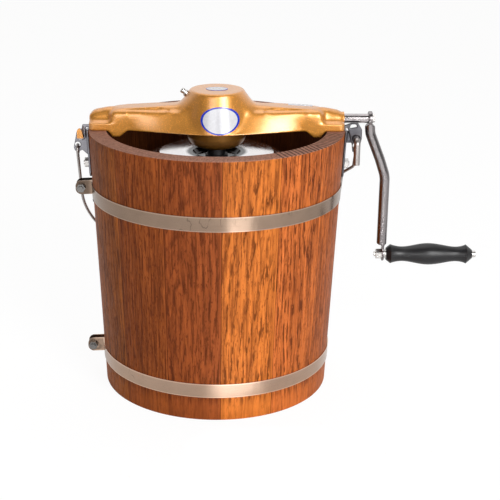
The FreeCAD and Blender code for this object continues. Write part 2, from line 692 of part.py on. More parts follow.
def frame_hollows():
    """Room for the gears, the shaft, its bushes, the dasher's square and two grooves under each arm."""
    gear_tip = GEAR_PITCH + TOOTH_ADDENDUM
    gear_room = rod(gear_tip + GEAR_ROOM, vec(0, 0, RIM), vec(0, 0, SOCKET_Z))
    spigot_room = rod(COVER_RADIUS - COVER_SPIGOT_STEP, vec(0, 0, RIM), vec(0, 0, RIM + COVER_SPIGOT))
    pinion_tip = PINION_PITCH + TOOTH_ADDENDUM + GEAR_ROOM
    pinion_room = rod(pinion_tip, vec(SHAFT_START - 3, 0, SHAFT_Z), vec(PINION_BACK + GEAR_ROOM, 0, SHAFT_Z))
    hub_room = rod(PINION_HUB_RADIUS + GEAR_ROOM, vec(SHAFT_START, 0, SHAFT_Z), vec(INNER_BUSH_X, 0, SHAFT_Z))
    bush_end = INNER_BUSH_X + BUSH_LENGTH
    bush_room = rod(BUSH_RADIUS, vec(INNER_BUSH_X - 1, 0, SHAFT_Z), vec(bush_end, 0, SHAFT_Z))
    shaft_room = rod(SHAFT_RADIUS + 1, vec(INNER_BUSH_X, 0, SHAFT_Z), vec(2 * FOOT_END, 0, SHAFT_Z))
    nose_room = rod(BUSH_RADIUS, vec(FOOT_END - BUSH_LENGTH, 0, SHAFT_Z), vec(2 * FOOT_END, 0, SHAFT_Z))
    half_square = (STEM_SQUARE + STEM_SQUARE_PLAY) / 2
    square = box(-half_square, half_square, -half_square, half_square,
                 SOCKET_Z - 1, SOCKET_Z + STEM_SQUARE_LENGTH + STEM_SQUARE_PLAY)
    front = box(bush_end, ARM_END - CHANNEL_WALL, -CHANNEL_INSET - CHANNEL_WIDTH, -CHANNEL_INSET,
                RIM - 1, RIM + CHANNEL_DEPTH)
    back = box(bush_end, ARM_END - CHANNEL_WALL, CHANNEL_INSET, CHANNEL_INSET + CHANNEL_WIDTH,
               RIM - 1, RIM + CHANNEL_DEPTH)
    return [gear_room, spigot_room, pinion_room, hub_room, bush_room, shaft_room, nose_room, square,
            front, back, mirror_x(front), mirror_x(back)]


def gear_frame():
    solids = frame_arms() + frame_hub()
    for piece in frame_end() + [frame_blend()]:
        solids.append(piece)
        solids.append(mirror_x(piece))
    body = join(solids)
    for hollow in frame_hollows():
        body = body.cut(hollow)
    for lug in (right_lug(), left_lug()):
        body = body.cut(lug)
    return body


# Latch lugs and pins

def under_round(radius):
    """Height at which a lug's back just clears a round of this radius on the shaft's axis."""
    return SHAFT_Z - math.sqrt(max(radius ** 2 - LUG_BACK ** 2, 0)) - LUG_SHAFT_GAP


def latch_lug(pin_out, pin_drop, pin_radius, raised):
    """Steel lug held in the right foot of the frame, with an eye in front of the ear."""
    lobe = pin_radius + LATCH_LOBE - 1
    pin_x = TUB_RADIUS_TOP + pin_out
    pin_z = RIM - pin_drop
    low = RIM + LUG_ROOT_RISE
    high = min(low + LUG_ROOT_HEIGHT, under_round(BUSH_RADIUS))
    top = min(low + LUG_TOP_RISE, under_round(SHAFT_RADIUS))
    strap_x = tub_radius(RIM - STRAP_TOP_DROP) + BAND_SEAT + STRAP_THICKNESS + LATCH_GAP
    if raised:
        crown = [(pin_x + lobe, low - 2), (pin_x + 2, top), (pin_x - lobe, top), (FOOT_END + 1, high)]
    else:
        crown = [(pin_x, pin_z + lobe), (strap_x + LUG_THICKNESS, high)]
    outline = [
        (FOOT_END - LUG_ROOT_DEPTH, low),
        (strap_x, low),
        (max(pin_x - lobe, strap_x), pin_z),
        (pin_x + lobe, pin_z),
    ]
    plate = plate_xz(outline + crown + [(FOOT_END - LUG_ROOT_DEPTH, high)], LUG_FRONT, LUG_BACK)
    eye = rod(lobe, vec(pin_x, LUG_FRONT, pin_z), vec(pin_x, LUG_BACK, pin_z))
    hole = rod(pin_radius + PIN_PLAY, vec(pin_x, -RIM, pin_z), vec(pin_x, RIM, pin_z))
    return join([plate, eye]).cut(hole)


def right_lug():
    lug = latch_lug(RIGHT_PIN_OUT, RIGHT_PIN_DROP, RIGHT_PIN_RADIUS, True)
    corner_x = TUB_RADIUS_TOP + RIGHT_PIN_OUT
    corner_z = RIM + LUG_ROOT_RISE
    return lug.cut(plate_xz([(corner_x + x, corner_z + z) for x, z in LUG_WINDOW], LUG_FRONT, LUG_BACK))


def left_lug():
    return mirror_x(latch_lug(LEFT_PIN_OUT, LEFT_PIN_DROP, LEFT_PIN_RADIUS, False))


def pin_tip_y():
    return EAR_FRONT - LATCH_GAP


def right_latch_pin():
    """Bent pin drawn back from the ear, its leg hanging in front of the lug."""
    x = TUB_RADIUS_TOP + RIGHT_PIN_OUT
    z = RIM - RIGHT_PIN_DROP
    bend = RIGHT_PIN_RADIUS + 1
    leg_y = LUG_FRONT - LATCH_TRAVEL - LATCH_GAP - bend
    path = rounded_path([vec(x, pin_tip_y(), z), vec(x, leg_y, z), vec(x, leg_y, z - RIGHT_PIN_LEG)], [bend])
    return swept_round(path, RIGHT_PIN_RADIUS)


def tab_front_y():
    return LUG_FRONT - LATCH_TRAVEL - LATCH_GAP - TAB_THICKNESS


def left_latch_pin():
    x = -TUB_RADIUS_TOP - LEFT_PIN_OUT
    z = RIM - LEFT_PIN_DROP
    return rod(LEFT_PIN_RADIUS, vec(x, tab_front_y() + TAB_THICKNESS, z), vec(x, pin_tip_y(), z))


def left_latch_tab():
    """Thumb tab on the front end of the left pin."""
    x = -TUB_RADIUS_TOP - LEFT_PIN_OUT
    z = RIM - LEFT_PIN_DROP
    y = tab_front_y()
    foot = z - TAB_FOOT
    tab = plate_xz([
        (x - TAB_WIDTH / 2, foot),
        (x + TAB_WIDTH / 2, foot),
        (x + TAB_WIDTH / 4, foot + 0.7 * TAB_HEIGHT),
        (x - TAB_WIDTH / 8, foot + TAB_HEIGHT),
        (x - TAB_WIDTH / 2, foot + 0.75 * TAB_HEIGHT),
    ], y, y + TAB_THICKNESS)
    return round_edges(tab, TAB_WIDTH / 8, lambda edge: edge.Length < TAB_THICKNESS + 0.1)


# Gears and shaft

def involute(angle):
    return math.tan(angle) - angle


def tooth_outline(teeth, mate_teeth, plane_z):
    """Bevel teeth cut square to their axis: involutes on the back cone, drawn to an apex at zero."""
    cone = math.atan2(teeth, mate_teeth)
    back_apex = CONE_DISTANCE / math.cos(cone)
    pitch = CONE_DISTANCE * math.tan(cone)
    base = pitch * math.cos(PRESSURE_ANGLE)
    root = pitch - TOOTH_DEDENDUM
    height = TOOTH_ADDENDUM + TOOTH_DEDENDUM + 0.5
    half_tooth = (math.pi * GEAR_MODULE / 2 - GEAR_BACKLASH) / (2 * pitch)
    flank = []
    for step in range(FLANK_POINTS):
        radius = root + height * step / (FLANK_POINTS - 1)
        slope = math.acos(base / max(radius, base))
        half = half_tooth + involute(PRESSURE_ANGLE) - involute(slope)
        scale = plane_z / (back_apex - radius * math.sin(cone))
        flank.append((radius * math.cos(cone) * scale, half / math.cos(cone)))
    corners = []
    for tooth in range(teeth):
        centre = 2 * math.pi * tooth / teeth
        for radius, half in flank:
            corners.append(vec(radius * math.cos(centre - half), radius * math.sin(centre - half), plane_z))
        for radius, half in reversed(flank):
            corners.append(vec(radius * math.cos(centre + half), radius * math.sin(centre + half), plane_z))
    return Part.makePolygon(corners + corners[:1])


def bevel_wheel(teeth, mate_teeth, rim):
    """Bevel wheel on Z with its pitch apex at the origin."""
    cone = math.atan2(teeth, mate_teeth)
    sine = math.sin(cone)
    cosine = math.cos(cone)
    share = (CONE_DISTANCE - GEAR_FACE) / CONE_DISTANCE
    tip = (CONE_DISTANCE * sine + TOOTH_ADDENDUM * cosine, CONE_DISTANCE * cosine - TOOTH_ADDENDUM * sine)
    depth = TOOTH_DEDENDUM + rim
    heel = (CONE_DISTANCE * sine - depth * cosine, CONE_DISTANCE * cosine + depth * sine)
    toe = (heel[0] * share, heel[1] * share)
    blank = turned([(0, toe[1]), toe, (tip[0] * share, tip[1] * share), tip, heel, (0, heel[1])])
    wires = []
    for plane_z in (tip[1] * share - 1, heel[1] + 1):
        wires.append(tooth_outline(teeth, mate_teeth, plane_z))
    return Part.makeLoft(wires, True, True).common(blank)


def bevel_pinion():
    """Pinion on the shaft, one tooth pointing straight down into the gear."""
    wheel = bevel_wheel(PINION_TEETH, GEAR_TEETH, PINION_RIM)
    wheel.rotate(CENTRE, Y_AXIS, 90)
    wheel.translate(vec(0, 0, SHAFT_Z))
    hub_end = PINION_BACK + PINION_HUB_LENGTH
    hub = rod(PINION_HUB_RADIUS, vec(PINION_BACK - 1, 0, SHAFT_Z), vec(hub_end, 0, SHAFT_Z))
    bore = rod(SHAFT_NECK_RADIUS, vec(0, 0, SHAFT_Z), vec(FOOT_END, 0, SHAFT_Z))
    return join([wheel, hub]).cut(bore).cut(pinion_pin())


def pinion_pin():
    x = PINION_BACK + PINION_HUB_LENGTH / 2
    reach = PINION_HUB_RADIUS - 0.4
    return rod(PINION_PIN_RADIUS, vec(x, 0, SHAFT_Z - reach), vec(x, 0, SHAFT_Z + reach))


def bevel_gear():
    """Gear under the pinion, with the drive hub that turns the can's lid."""
    wheel = bevel_wheel(GEAR_TEETH, PINION_TEETH, GEAR_RIM)
    wheel.rotate(CENTRE, Z_AXIS, 180 / GEAR_TEETH)
    wheel.rotate(CENTRE, X_AXIS, 180)
    wheel.translate(vec(0, 0, SHAFT_Z))
    hub = rod(DRIVE_HUB_RADIUS, vec(0, 0, DRIVE_HUB_Z), vec(0, 0, GEAR_BACK_Z + 2))
    bore = rod(STEM_RADIUS + STEM_PLAY, vec(0, 0, 0), vec(0, 0, HUB_TOP))
    socket = hexagon(DRIVE_HEX, DRIVE_HEX_DEPTH)
    socket.translate(vec(0, 0, DRIVE_HUB_Z))
    return join([wheel, hub]).cut(bore).cut(socket)


def crank_shaft():
    neck_end = vec(INNER_BUSH_X - GEAR_ROOM, 0, SHAFT_Z)
    neck = rod(SHAFT_NECK_RADIUS, vec(SHAFT_START, 0, SHAFT_Z), neck_end)
    body = rod(SHAFT_RADIUS, neck_end, vec(SHAFT_END, 0, SHAFT_Z))
    half = SHAFT_TANG / 2
    tang_end = SHAFT_END + CRANK_EYE_THICKNESS - 0.3
    tang = box(SHAFT_END - 1, tang_end, -half, half, SHAFT_Z - half, SHAFT_Z + half)
    bolt_start = vec(SHAFT_END - CRANK_BOLT_DEPTH, 0, SHAFT_Z)
    bolt = rod(CRANK_BOLT_RADIUS, bolt_start, vec(2 * SHAFT_END, 0, SHAFT_Z))
    return join([neck, body, tang]).cut(pinion_pin()).cut(bolt)


def shaft_bush(start):
    bore = SHAFT_RADIUS + BUSH_PLAY
    return ring(BUSH_RADIUS, bore, vec(start, 0, SHAFT_Z), vec(start + BUSH_LENGTH, 0, SHAFT_Z))


def gear_cover():
    """Bowl under the hub, with a spigot in the hub and a boss for the gear's bush."""
    inside = GEAR_PITCH + TOOTH_ADDENDUM + 1
    spigot = COVER_RADIUS - COVER_SPIGOT_STEP
    band_z = RIM - COVER_BAND
    belly = vec(0.89 * COVER_RADIUS, 0, RIM - 0.74 * COVER_DEPTH)
    band_foot = vec(COVER_RADIUS, 0, band_z)
    floor_edge = vec(COVER_FLOOR_RADIUS, 0, COVER_FLOOR_Z)
    corners = [
        floor_edge,
        vec(0, 0, COVER_FLOOR_Z),
        vec(0, 0, COVER_FLOOR_Z + COVER_WALL),
        vec(COVER_FLOOR_RADIUS - COVER_WALL, 0, COVER_FLOOR_Z + COVER_WALL),
        vec(inside, 0, GEAR_BACK_Z - 1),
        vec(inside, 0, RIM + COVER_SPIGOT),
        vec(spigot, 0, RIM + COVER_SPIGOT),
        vec(spigot, 0, RIM),
        vec(COVER_RADIUS, 0, RIM),
        band_foot,
    ]
    edges = [Part.LineSegment(start, end).toShape() for start, end in zip(corners, corners[1:])]
    edges.append(Part.Arc(band_foot, belly, floor_edge).toShape())
    bowl = Part.Face(Part.Wire(edges)).revolve(CENTRE, Z_AXIS, 360)
    boss_top = vec(0, 0, COVER_FLOOR_Z + GEAR_BUSH_LENGTH)
    outer = DRIVE_HUB_RADIUS + BUSH_WALL
    boss = rod(outer + COVER_WALL / 2, vec(0, 0, COVER_FLOOR_Z), boss_top)
    return join([bowl, boss]).cut(rod(outer, vec(0, 0, 0), vec(0, 0, RIM)))


def gear_bush():
    bore = DRIVE_HUB_RADIUS + BUSH_PLAY
    foot = vec(0, 0, COVER_FLOOR_Z)
    return ring(DRIVE_HUB_RADIUS + BUSH_WALL, bore, foot, foot + Z_AXIS * GEAR_BUSH_LENGTH)


# Can, lid and dasher

def can():
    outer = rod(CAN_RADIUS, vec(0, 0, CAN_Z), vec(0, 0, CAN_TOP))
    inner = rod(CAN_RADIUS - CAN_WALL, vec(0, 0, CAN_Z + CAN_FLOOR), vec(0, 0, CAN_TOP))
    return outer.cut(inner).cut(rod(STUD_RADIUS, vec(0, 0, 0), vec(0, 0, RIM)))


def can_pivot():
    foot = vec(0, 0, BOTTOM_TOP + PIVOT_CUP_FLOOR)
    flange = vec(0, 0, CAN_Z - PIVOT_FLANGE)
    seat = vec(0, 0, CAN_Z)
    return join([
        rod(PIVOT_RADIUS, foot, seat),
        rod(PIVOT_CUP_RADIUS, flange, seat),
        rod(STUD_RADIUS, seat - Z_AXIS, vec(0, 0, CAN_Z + CAN_FLOOR + STUD_HEIGHT)),
    ])


def can_lid():
    inside = CAN_RADIUS + LID_PLAY
    outside = inside + CAN_WALL
    outer = rod(outside, vec(0, 0, LID_TOP - LID_SKIRT), vec(0, 0, LID_TOP))
    outer = round_edges(outer, LID_ROUND, lambda edge: edge.CenterOfMass.z > LID_TOP - 0.1 and edge.Closed)
    inner = rod(inside, vec(0, 0, 0), vec(0, 0, CAN_TOP))
    near, far = LID_EMBOSS
    embossed = []
    for face, inset in ((LID_TOP, 0), (CAN_TOP, LID_THICKNESS)):
        embossed.append(turned([
            (near + inset, face),
            (far - inset, face),
            (far - inset - LID_EMBOSS_SLOPE, face + LID_EMBOSS_RISE),
            (near + inset + LID_EMBOSS_SLOPE, face + LID_EMBOSS_RISE),
        ]))
    plate = join([outer.cut(inner), embossed[0]]).cut(embossed[1])
    return plate.cut(rod(STEM_RADIUS + STEM_PLAY, vec(0, 0, 0), vec(0, 0, RIM)))


def lid_hub():
    """Hexagonal boss on the lid, turned by the gear's drive hub."""
    step = LID_TOP + LID_HUB_FLANGE_HEIGHT
    flange = rod(LID_HUB_FLANGE, vec(0, 0, LID_TOP), vec(0, 0, step))
    peg = hexagon(DRIVE_HEX - DRIVE_HEX_PLAY, DRIVE_HUB_Z + DRIVE_HEX_DEPTH - LID_HUB_GAP - step)
    peg.translate(vec(0, 0, step))
    return join([flange, peg]).cut(rod(STEM_RADIUS + STEM_PLAY, vec(0, 0, 0), vec(0, 0, RIM)))


def post_x():
    """Outer face of the dasher's side posts, where the scraper blades are fixed."""
    return CAN_RADIUS - CAN_WALL - BLADE_GAP - BLADE_WIDTH


def dasher():
    """Stem with its foot and square top, and a flat frame of bars in the can."""
    foot = CAN_Z + CAN_FLOOR + DASHER_SEAT
    low = CAN_Z + DASHER_LOW
    high = CAN_TOP - DASHER_HIGH
    square_foot = SOCKET_Z - STEM_SQUARE_PLAY
    half_square = STEM_SQUARE / 2
    half = DASHER_BAR_WIDTH / 2
    solids = [
        rod(STEM_RADIUS, vec(0, 0, foot), vec(0, 0, square_foot)),
        rod(DASHER_FOOT_RADIUS, vec(0, 0, foot), vec(0, 0, foot + DASHER_FOOT_HEIGHT)),
        box(-half_square, half_square, -half_square, half_square,
            square_foot - STEM_SQUARE, SOCKET_Z + STEM_SQUARE_LENGTH),
    ]
    for z in (low, high):
        solids.append(box(-post_x(), post_x(), -half, half, z - DASHER_BAR / 2, z + DASHER_BAR / 2))
    for x in (post_x() - DASHER_POST_WIDTH, PADDLE_RADIUS):
        post = box(x, x + DASHER_POST_WIDTH, -half, half, low, high)
        solids.append(post)
        solids.append(mirror_x(post))
    body = join(solids)
    return body.cut(rod(STUD_RADIUS + HOLE_PLAY, vec(0, 0, 0), vec(0, 0, foot + STUD_HEIGHT + 1)))


def scraper_blade():
    """Wooden blade on the outer face of the right post."""
    low = CAN_Z + DASHER_LOW - BLADE_OVERHANG
    high = CAN_TOP - DASHER_HIGH + BLADE_OVERHANG
    half = BLADE_THICKNESS / 2
    return plate_xz([
        (post_x(), low),
        (post_x() + BLADE_WIDTH, low),
        (post_x() + BLADE_WIDTH, high),
        (post_x(), high),
    ], -half, half)


# Crank and grip

def crank_arm():
    """Round rod bent outwards, with a flattened eye at each end."""
    top = vec(CRANK_X, 0, SHAFT_Z - CRANK_NECK_DROP)
    straight = CRANK_X + CRANK_OFFSET
    points = [
        top,
        vec(CRANK_X + 1, 0, SHAFT_Z - 0.55 * CRANK_BEND_START),
        vec(CRANK_X + CRANK_BEND_MID_SHARE * CRANK_OFFSET, 0, SHAFT_Z - CRANK_BEND_MID),
        vec(straight, 0, SHAFT_Z - CRANK_BEND_END),
        vec(straight, 0, GRIP_Z + CRANK_NECK_DROP),
    ]
    path = rounded_path(points, [CRANK_BEND_RADIUS / 2, CRANK_BEND_RADIUS, CRANK_BEND_RADIUS])
    arm = swept_round(path, CRANK_ROD / 2)
    half = CRANK_EYE_THICKNESS / 2
    low_half = LOWER_EYE_THICKNESS / 2
    low_side = LOWER_EYE_X - low_half
    eyes = [
        rod(CRANK_EYE_RADIUS, vec(CRANK_X - half, 0, SHAFT_Z), vec(CRANK_X + half, 0, SHAFT_Z)),
        rod(CRANK_EYE_RADIUS, vec(low_side, 0, GRIP_Z), vec(LOWER_EYE_X + low_half, 0, GRIP_Z)),
    ]
    half_neck = 0.4 * CRANK_ROD
    neck = box(low_side, LOWER_EYE_X + low_half, -half_neck, half_neck, GRIP_Z, GRIP_Z + CRANK_THROAT + 2)
    grip_room = rod(CRANK_THROAT, vec(LOWER_EYE_X + low_half, 0, GRIP_Z), vec(2 * LOWER_EYE_X, 0, GRIP_Z))
    throat = rod(CRANK_THROAT, vec(0, 0, GRIP_Z), vec(low_side, 0, GRIP_Z))
    top_room = rod(CRANK_EYE_RADIUS, vec(0, 0, SHAFT_Z), vec(CRANK_X - half, 0, SHAFT_Z))
    top_face = rod(CRANK_EYE_RADIUS, vec(CRANK_X + half, 0, SHAFT_Z), vec(2 * CRANK_X, 0, SHAFT_Z))
    for room in (grip_room, throat, top_room, top_face):
        arm = arm.cut(room)
    body = join([arm, neck] + eyes)
    flat = SHAFT_TANG / 2 + PIN_PLAY
    tang = box(SHAFT_END - 1, 2 * SHAFT_END, -flat, flat, SHAFT_Z - flat, SHAFT_Z + flat)
    bolt = rod(GRIP_BOLT_RADIUS + PIN_PLAY, vec(0, 0, GRIP_Z), vec(2 * SHAFT_END, 0, GRIP_Z))
    return body.cut(tang).cut(bolt)


def crank_bolt():
    seat = SHAFT_END + CRANK_EYE_THICKNESS + CRANK_WASHER_THICKNESS
    shank = rod(CRANK_BOLT_RADIUS, vec(SHAFT_END - CRANK_BOLT_DEPTH, 0, SHAFT_Z), vec(seat + 1, 0, SHAFT_Z))
    return join([shank, aim(hexagon(CRANK_BOLT_HEX, CRANK_BOLT_HEAD), vec(seat, 0, SHAFT_Z), X_AXIS)])


def crank_washer():
    seat = SHAFT_END + CRANK_EYE_THICKNESS
    return ring(CRANK_WASHER_RADIUS, CRANK_BOLT_RADIUS + PIN_PLAY,
                vec(seat, 0, SHAFT_Z), vec(seat + CRANK_WASHER_THICKNESS, 0, SHAFT_Z))


def grip():
    """Turned grip: a chamfered bead at each end, a waist beside each bead and a full belly."""
    points = [vec(GRIP_X + share * GRIP_LENGTH, 0, GRIP_Z + radius) for share, radius in GRIP_PROFILE]
    curve = Part.BSplineCurve()
    curve.interpolate(points)
    start = vec(GRIP_X, 0, GRIP_Z)
    end = vec(GRIP_X + GRIP_LENGTH, 0, GRIP_Z)
    start_rim = start + Z_AXIS * GRIP_START_RADIUS
    corners = [points[-1], end + Z_AXIS * GRIP_TIP_RADIUS, end, start, start_rim, points[0]]
    edges = [curve.toShape()]
    for first, last in zip(corners, corners[1:]):
        edges.append(Part.LineSegment(first, last).toShape())
    body = Part.Face(Part.Wire(edges)).revolve(start, X_AXIS, 360)
    return body.cut(rod(GRIP_BOLT_RADIUS + GRIP_PLAY, start - X_AXIS, end + X_AXIS))


def grip_bolt():
    nut_end = LOWER_EYE_X - LOWER_EYE_THICKNESS / 2 - GRIP_NUT_HEIGHT
    start = vec(nut_end - GRIP_BOLT_STICKOUT, 0, GRIP_Z)
    seat = vec(GRIP_X + GRIP_LENGTH + GRIP_END_PLAY, 0, GRIP_Z)
    head = rod(GRIP_HEAD_RADIUS, seat, seat + X_AXIS * GRIP_BOLT_HEAD)
    head = round_edges(head, GRIP_BOLT_HEAD / 4, lambda edge: edge.CenterOfMass.x > seat.x + 1
                       and edge.Closed)
    return join([rod(GRIP_BOLT_RADIUS, start, seat + X_AXIS), head])


def grip_nut():
    seat = vec(LOWER_EYE_X - LOWER_EYE_THICKNESS / 2, 0, GRIP_Z)
    nut = aim(hexagon(GRIP_NUT_HEX, GRIP_NUT_HEIGHT), seat, X_AXIS * -1)
    return nut.cut(rod(GRIP_BOLT_RADIUS, vec(0, 0, GRIP_Z), vec(2 * GRIP_X, 0, GRIP_Z)))


def grip_washer():
    seat = vec(LOWER_EYE_X + LOWER_EYE_THICKNESS / 2, 0, GRIP_Z)
    return ring(GRIP_WASHER_RADIUS, GRIP_BOLT_RADIUS + PIN_PLAY, seat, seat + X_AXIS * GRIP_WASHER_THICKNESS)


# Trim

def grease_fitting():
    """Small nipple on the hub's left shoulder, pointing out and up."""
    shoulder = vec(FITTING_PLACE[0], 0, RIM + FITTING_PLACE[1])
    outward = vec(FITTING_SLOPE[0], 0, FITTING_SLOPE[1]).normalize()
    foot = rod(FITTING_RADIUS, shoulder, shoulder + outward * FITTING_LENGTH * 0.7)
    tip = rod(0.65 * FITTING_RADIUS, shoulder, shoulder + outward * FITTING_LENGTH)
    ball = Part.makeSphere(0.85 * FITTING_RADIUS, shoulder + outward * FITTING_LENGTH)
    body = join([foot, tip, ball])
    for piece in frame_hub():
        body = body.cut(piece)
    return body


def oval(size, place, direction, depth):
    ellipse = Part.Ellipse(CENTRE, size[0] / 2, size[1] / 2).toShape()
    plate = Part.Face(Part.Wire(ellipse)).extrude(Z_AXIS * depth)
    return aim(plate, place, direction)


def front_label():
    """Blank oval on the front of the hub's cone."""
    back = LABEL_SEAT
    face = LABEL_SEAT + LABEL_THICKNESS
    outer = Part.makeCone(HUB_RADIUS_FOOT + face, HUB_RADIUS_TOP + face, HUB_HEIGHT, vec(0, 0, RIM))
    inner = Part.makeCone(HUB_RADIUS_FOOT + back, HUB_RADIUS_TOP + back, HUB_HEIGHT, vec(0, 0, RIM))
    place = vec(FRONT_LABEL_SHIFT, -2 * HUB_RADIUS_FOOT, RIM + FRONT_LABEL_RISE)
    ellipse = Part.Ellipse(CENTRE, FRONT_LABEL[0] / 2, FRONT_LABEL[1] / 2).toShape()
    cutter = Part.Face(Part.Wire(ellipse)).extrude(Z_AXIS * -2 * HUB_RADIUS_FOOT)
    cutter.rotate(CENTRE, X_AXIS, 90)
    cutter.translate(place)
    return outer.cut(inner).common(cutter)


def top_label():
    return oval(TOP_LABEL, vec(0, 0, HUB_TOP + LABEL_SEAT), Z_AXIS, LABEL_THICKNESS)


def arm_label():
    """Blank strip on the sloping top of the right arm."""
    run = ARM_END - ARM_ROUND - HUB_RADIUS_FOOT
    slope = (ARM_RIB_END - ARM_RIB_HUB) / run
    centre_x = TUB_RADIUS_TOP - ARM_LABEL_INSET
    height = RIM + ARM_RIB_HUB + slope * (centre_x - HUB_RADIUS_FOOT) + LABEL_SEAT
    half = ARM_LABEL[0] / 2
    corners = []
    for shift, rise in ((-half, 0), (half, 0), (half, LABEL_THICKNESS), (-half, LABEL_THICKNESS)):
        corners.append((centre_x + shift, height + slope * shift + rise))
    return plate_xz(corners, ARM_LABEL_SHIFT - ARM_LABEL[1] / 2, ARM_LABEL_SHIFT + ARM_LABEL[1] / 2)


def both_sides(shape):
    return Part.makeCompound([shape, mirror_x(shape)])


def main():
    os.makedirs("parts", exist_ok=True)
    upper = RIM - UPPER_BAND_DROP
    for number in range(STAVE_COUNT):
        save(stave(number), "stave_%02d" % (number + 1))
    pieces = {
        "tub_bottom": tub_bottom(),
        "pivot_cup": pivot_cup(),
        "upper_band": band(upper),
        "lower_band": band(LOWER_BAND_HEIGHT),
        "band_bolts": Part.makeCompound([clamp_bolt(upper), clamp_bolt(LOWER_BAND_HEIGHT)]),
        "band_nuts": Part.makeCompound([clamp_nut(upper), clamp_nut(LOWER_BAND_HEIGHT)]),
        "band_keeper": band_keeper(),
        "right_ear": ear_bracket(RIGHT_PIN_OUT, RIGHT_PIN_DROP, RIGHT_PIN_RADIUS, RIGHT_WEB_DROP),
        "left_ear": mirror_x(ear_bracket(LEFT_PIN_OUT, LEFT_PIN_DROP, LEFT_PIN_RADIUS, LEFT_WEB_DROP)),
        "ear_bolts": both_sides(ear_bolt()),
        "ear_nuts": both_sides(ear_nut()),
        "bail": bail(),
        "gear_frame": gear_frame(),
        "right_lug": right_lug(),
        "left_lug": left_lug(),
        "right_latch_pin": right_latch_pin(),
        "left_latch_pin": left_latch_pin(),
        "left_latch_tab": left_latch_tab(),
        "crank_shaft": crank_shaft(),
        "inner_bush": shaft_bush(INNER_BUSH_X),
        "outer_bush": shaft_bush(FOOT_END - BUSH_LENGTH),
        "bevel_pinion": bevel_pinion(),
        "pinion_pin": pinion_pin(),
        "bevel_gear": bevel_gear(),
        "gear_cover": gear_cover(),
        "gear_bush": gear_bush(),
        "can": can(),
        "can_pivot": can_pivot(),
        "can_lid": can_lid(),
        "lid_hub": lid_hub(),
        "dasher": dasher(),
        "right_scraper": scraper_blade(),
        "left_scraper": mirror_x(scraper_blade()),
        "crank_arm": crank_arm(),
        "crank_bolt": crank_bolt(),
        "crank_washer": crank_washer(),
        "grip": grip(),
        "grip_bolt": grip_bolt(),
        "grip_nut": grip_nut(),
        "grip_washer": grip_washer(),
        "grease_fitting": grease_fitting(),
        "front_label": front_label(),
        "top_label": top_label(),
        "arm_label": arm_label(),
    }
    for node, shape in pieces.items():
        save(shape, node)


main()
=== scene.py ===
import math

import bpy
from mathutils import Matrix, Vector


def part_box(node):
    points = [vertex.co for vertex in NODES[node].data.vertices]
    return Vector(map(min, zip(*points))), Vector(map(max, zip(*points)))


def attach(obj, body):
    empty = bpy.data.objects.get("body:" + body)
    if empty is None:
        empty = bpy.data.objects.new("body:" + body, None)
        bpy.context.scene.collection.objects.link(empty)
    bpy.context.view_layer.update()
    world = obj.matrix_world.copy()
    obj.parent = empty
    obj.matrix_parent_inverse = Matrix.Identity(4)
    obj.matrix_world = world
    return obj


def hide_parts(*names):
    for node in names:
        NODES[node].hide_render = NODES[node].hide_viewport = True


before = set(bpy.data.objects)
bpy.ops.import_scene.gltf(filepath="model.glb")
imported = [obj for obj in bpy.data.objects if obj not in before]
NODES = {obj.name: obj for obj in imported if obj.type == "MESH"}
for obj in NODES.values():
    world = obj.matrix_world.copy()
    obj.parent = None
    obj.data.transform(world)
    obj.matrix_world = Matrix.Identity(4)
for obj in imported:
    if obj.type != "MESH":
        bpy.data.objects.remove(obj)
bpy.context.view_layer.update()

bl_info = {
    "name": "Hand-crank ice cream freezer",
    "version": (1, 0, 0),
    "blender": (4, 5, 0),
    "location": "View3D > Sidebar > Freezer",
    "description": "Finishes and finely shaped pieces for a wooden-tub ice cream freezer",
    "category": "Object",
}

MM = 0.001
STAVES = sorted(name for name in NODES if name.startswith("stave_"))
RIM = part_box("stave_01")[1].z
HUB_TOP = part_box("gear_frame")[1].z
SHAFT_Z = sum(corner.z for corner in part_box("outer_bush")) / 2
# Half a stave's width over its distance from the tub's axis
STAVE_EDGE = math.tan(math.pi / len(STAVES))
# Angle of the first joint between two staves, in degrees
FIRST_JOINT = 2.4
# Mean width of a growth ring, in millimetres
MEAN_RING = 5.2


# Property groups

class FreezerSizes(bpy.types.PropertyGroup):
    """Sizes of the shown pieces that a user may change."""
    ring_width: bpy.props.FloatProperty(
        name="Growth ring", description="Mean width of a growth ring in the staves",
        default=MEAN_RING * MM, min=1 * MM, max=20 * MM, unit="LENGTH")
    pore_length: bpy.props.FloatProperty(
        name="Pore length", description="Length of the dark pore dashes in the oak",
        default=6.0 * MM, min=1 * MM, max=40 * MM, unit="LENGTH")
    lens: bpy.props.FloatProperty(
        name="Lens", description="Focal length on a 36 mm frame", default=90.63, min=20, max=300)
    camera_distance: bpy.props.FloatProperty(
        name="Camera distance", description="How far the camera stands in front of the tub's axis",
        default=1.5204, min=0.5, max=5, unit="LENGTH")
    camera_height: bpy.props.FloatProperty(
        name="Camera height", description="Height of the camera above the floor",
        default=0.70977, min=0, max=3, unit="LENGTH")
    camera_pitch: bpy.props.FloatProperty(
        name="Camera pitch", description="How far the camera looks down", default=0.34177, subtype="ANGLE")
    camera_roll: bpy.props.FloatProperty(
        name="Camera roll", description="How far the camera leans", default=0.0042, subtype="ANGLE")
    camera_shift: bpy.props.FloatProperty(
        name="Camera shift", description="Sideways shift of the picture", default=0.0676)


def colour_property(label, words, rgb):
    return bpy.props.FloatVectorProperty(
        name=label, description=words, default=rgb, size=3, min=0, max=1, subtype="COLOR")


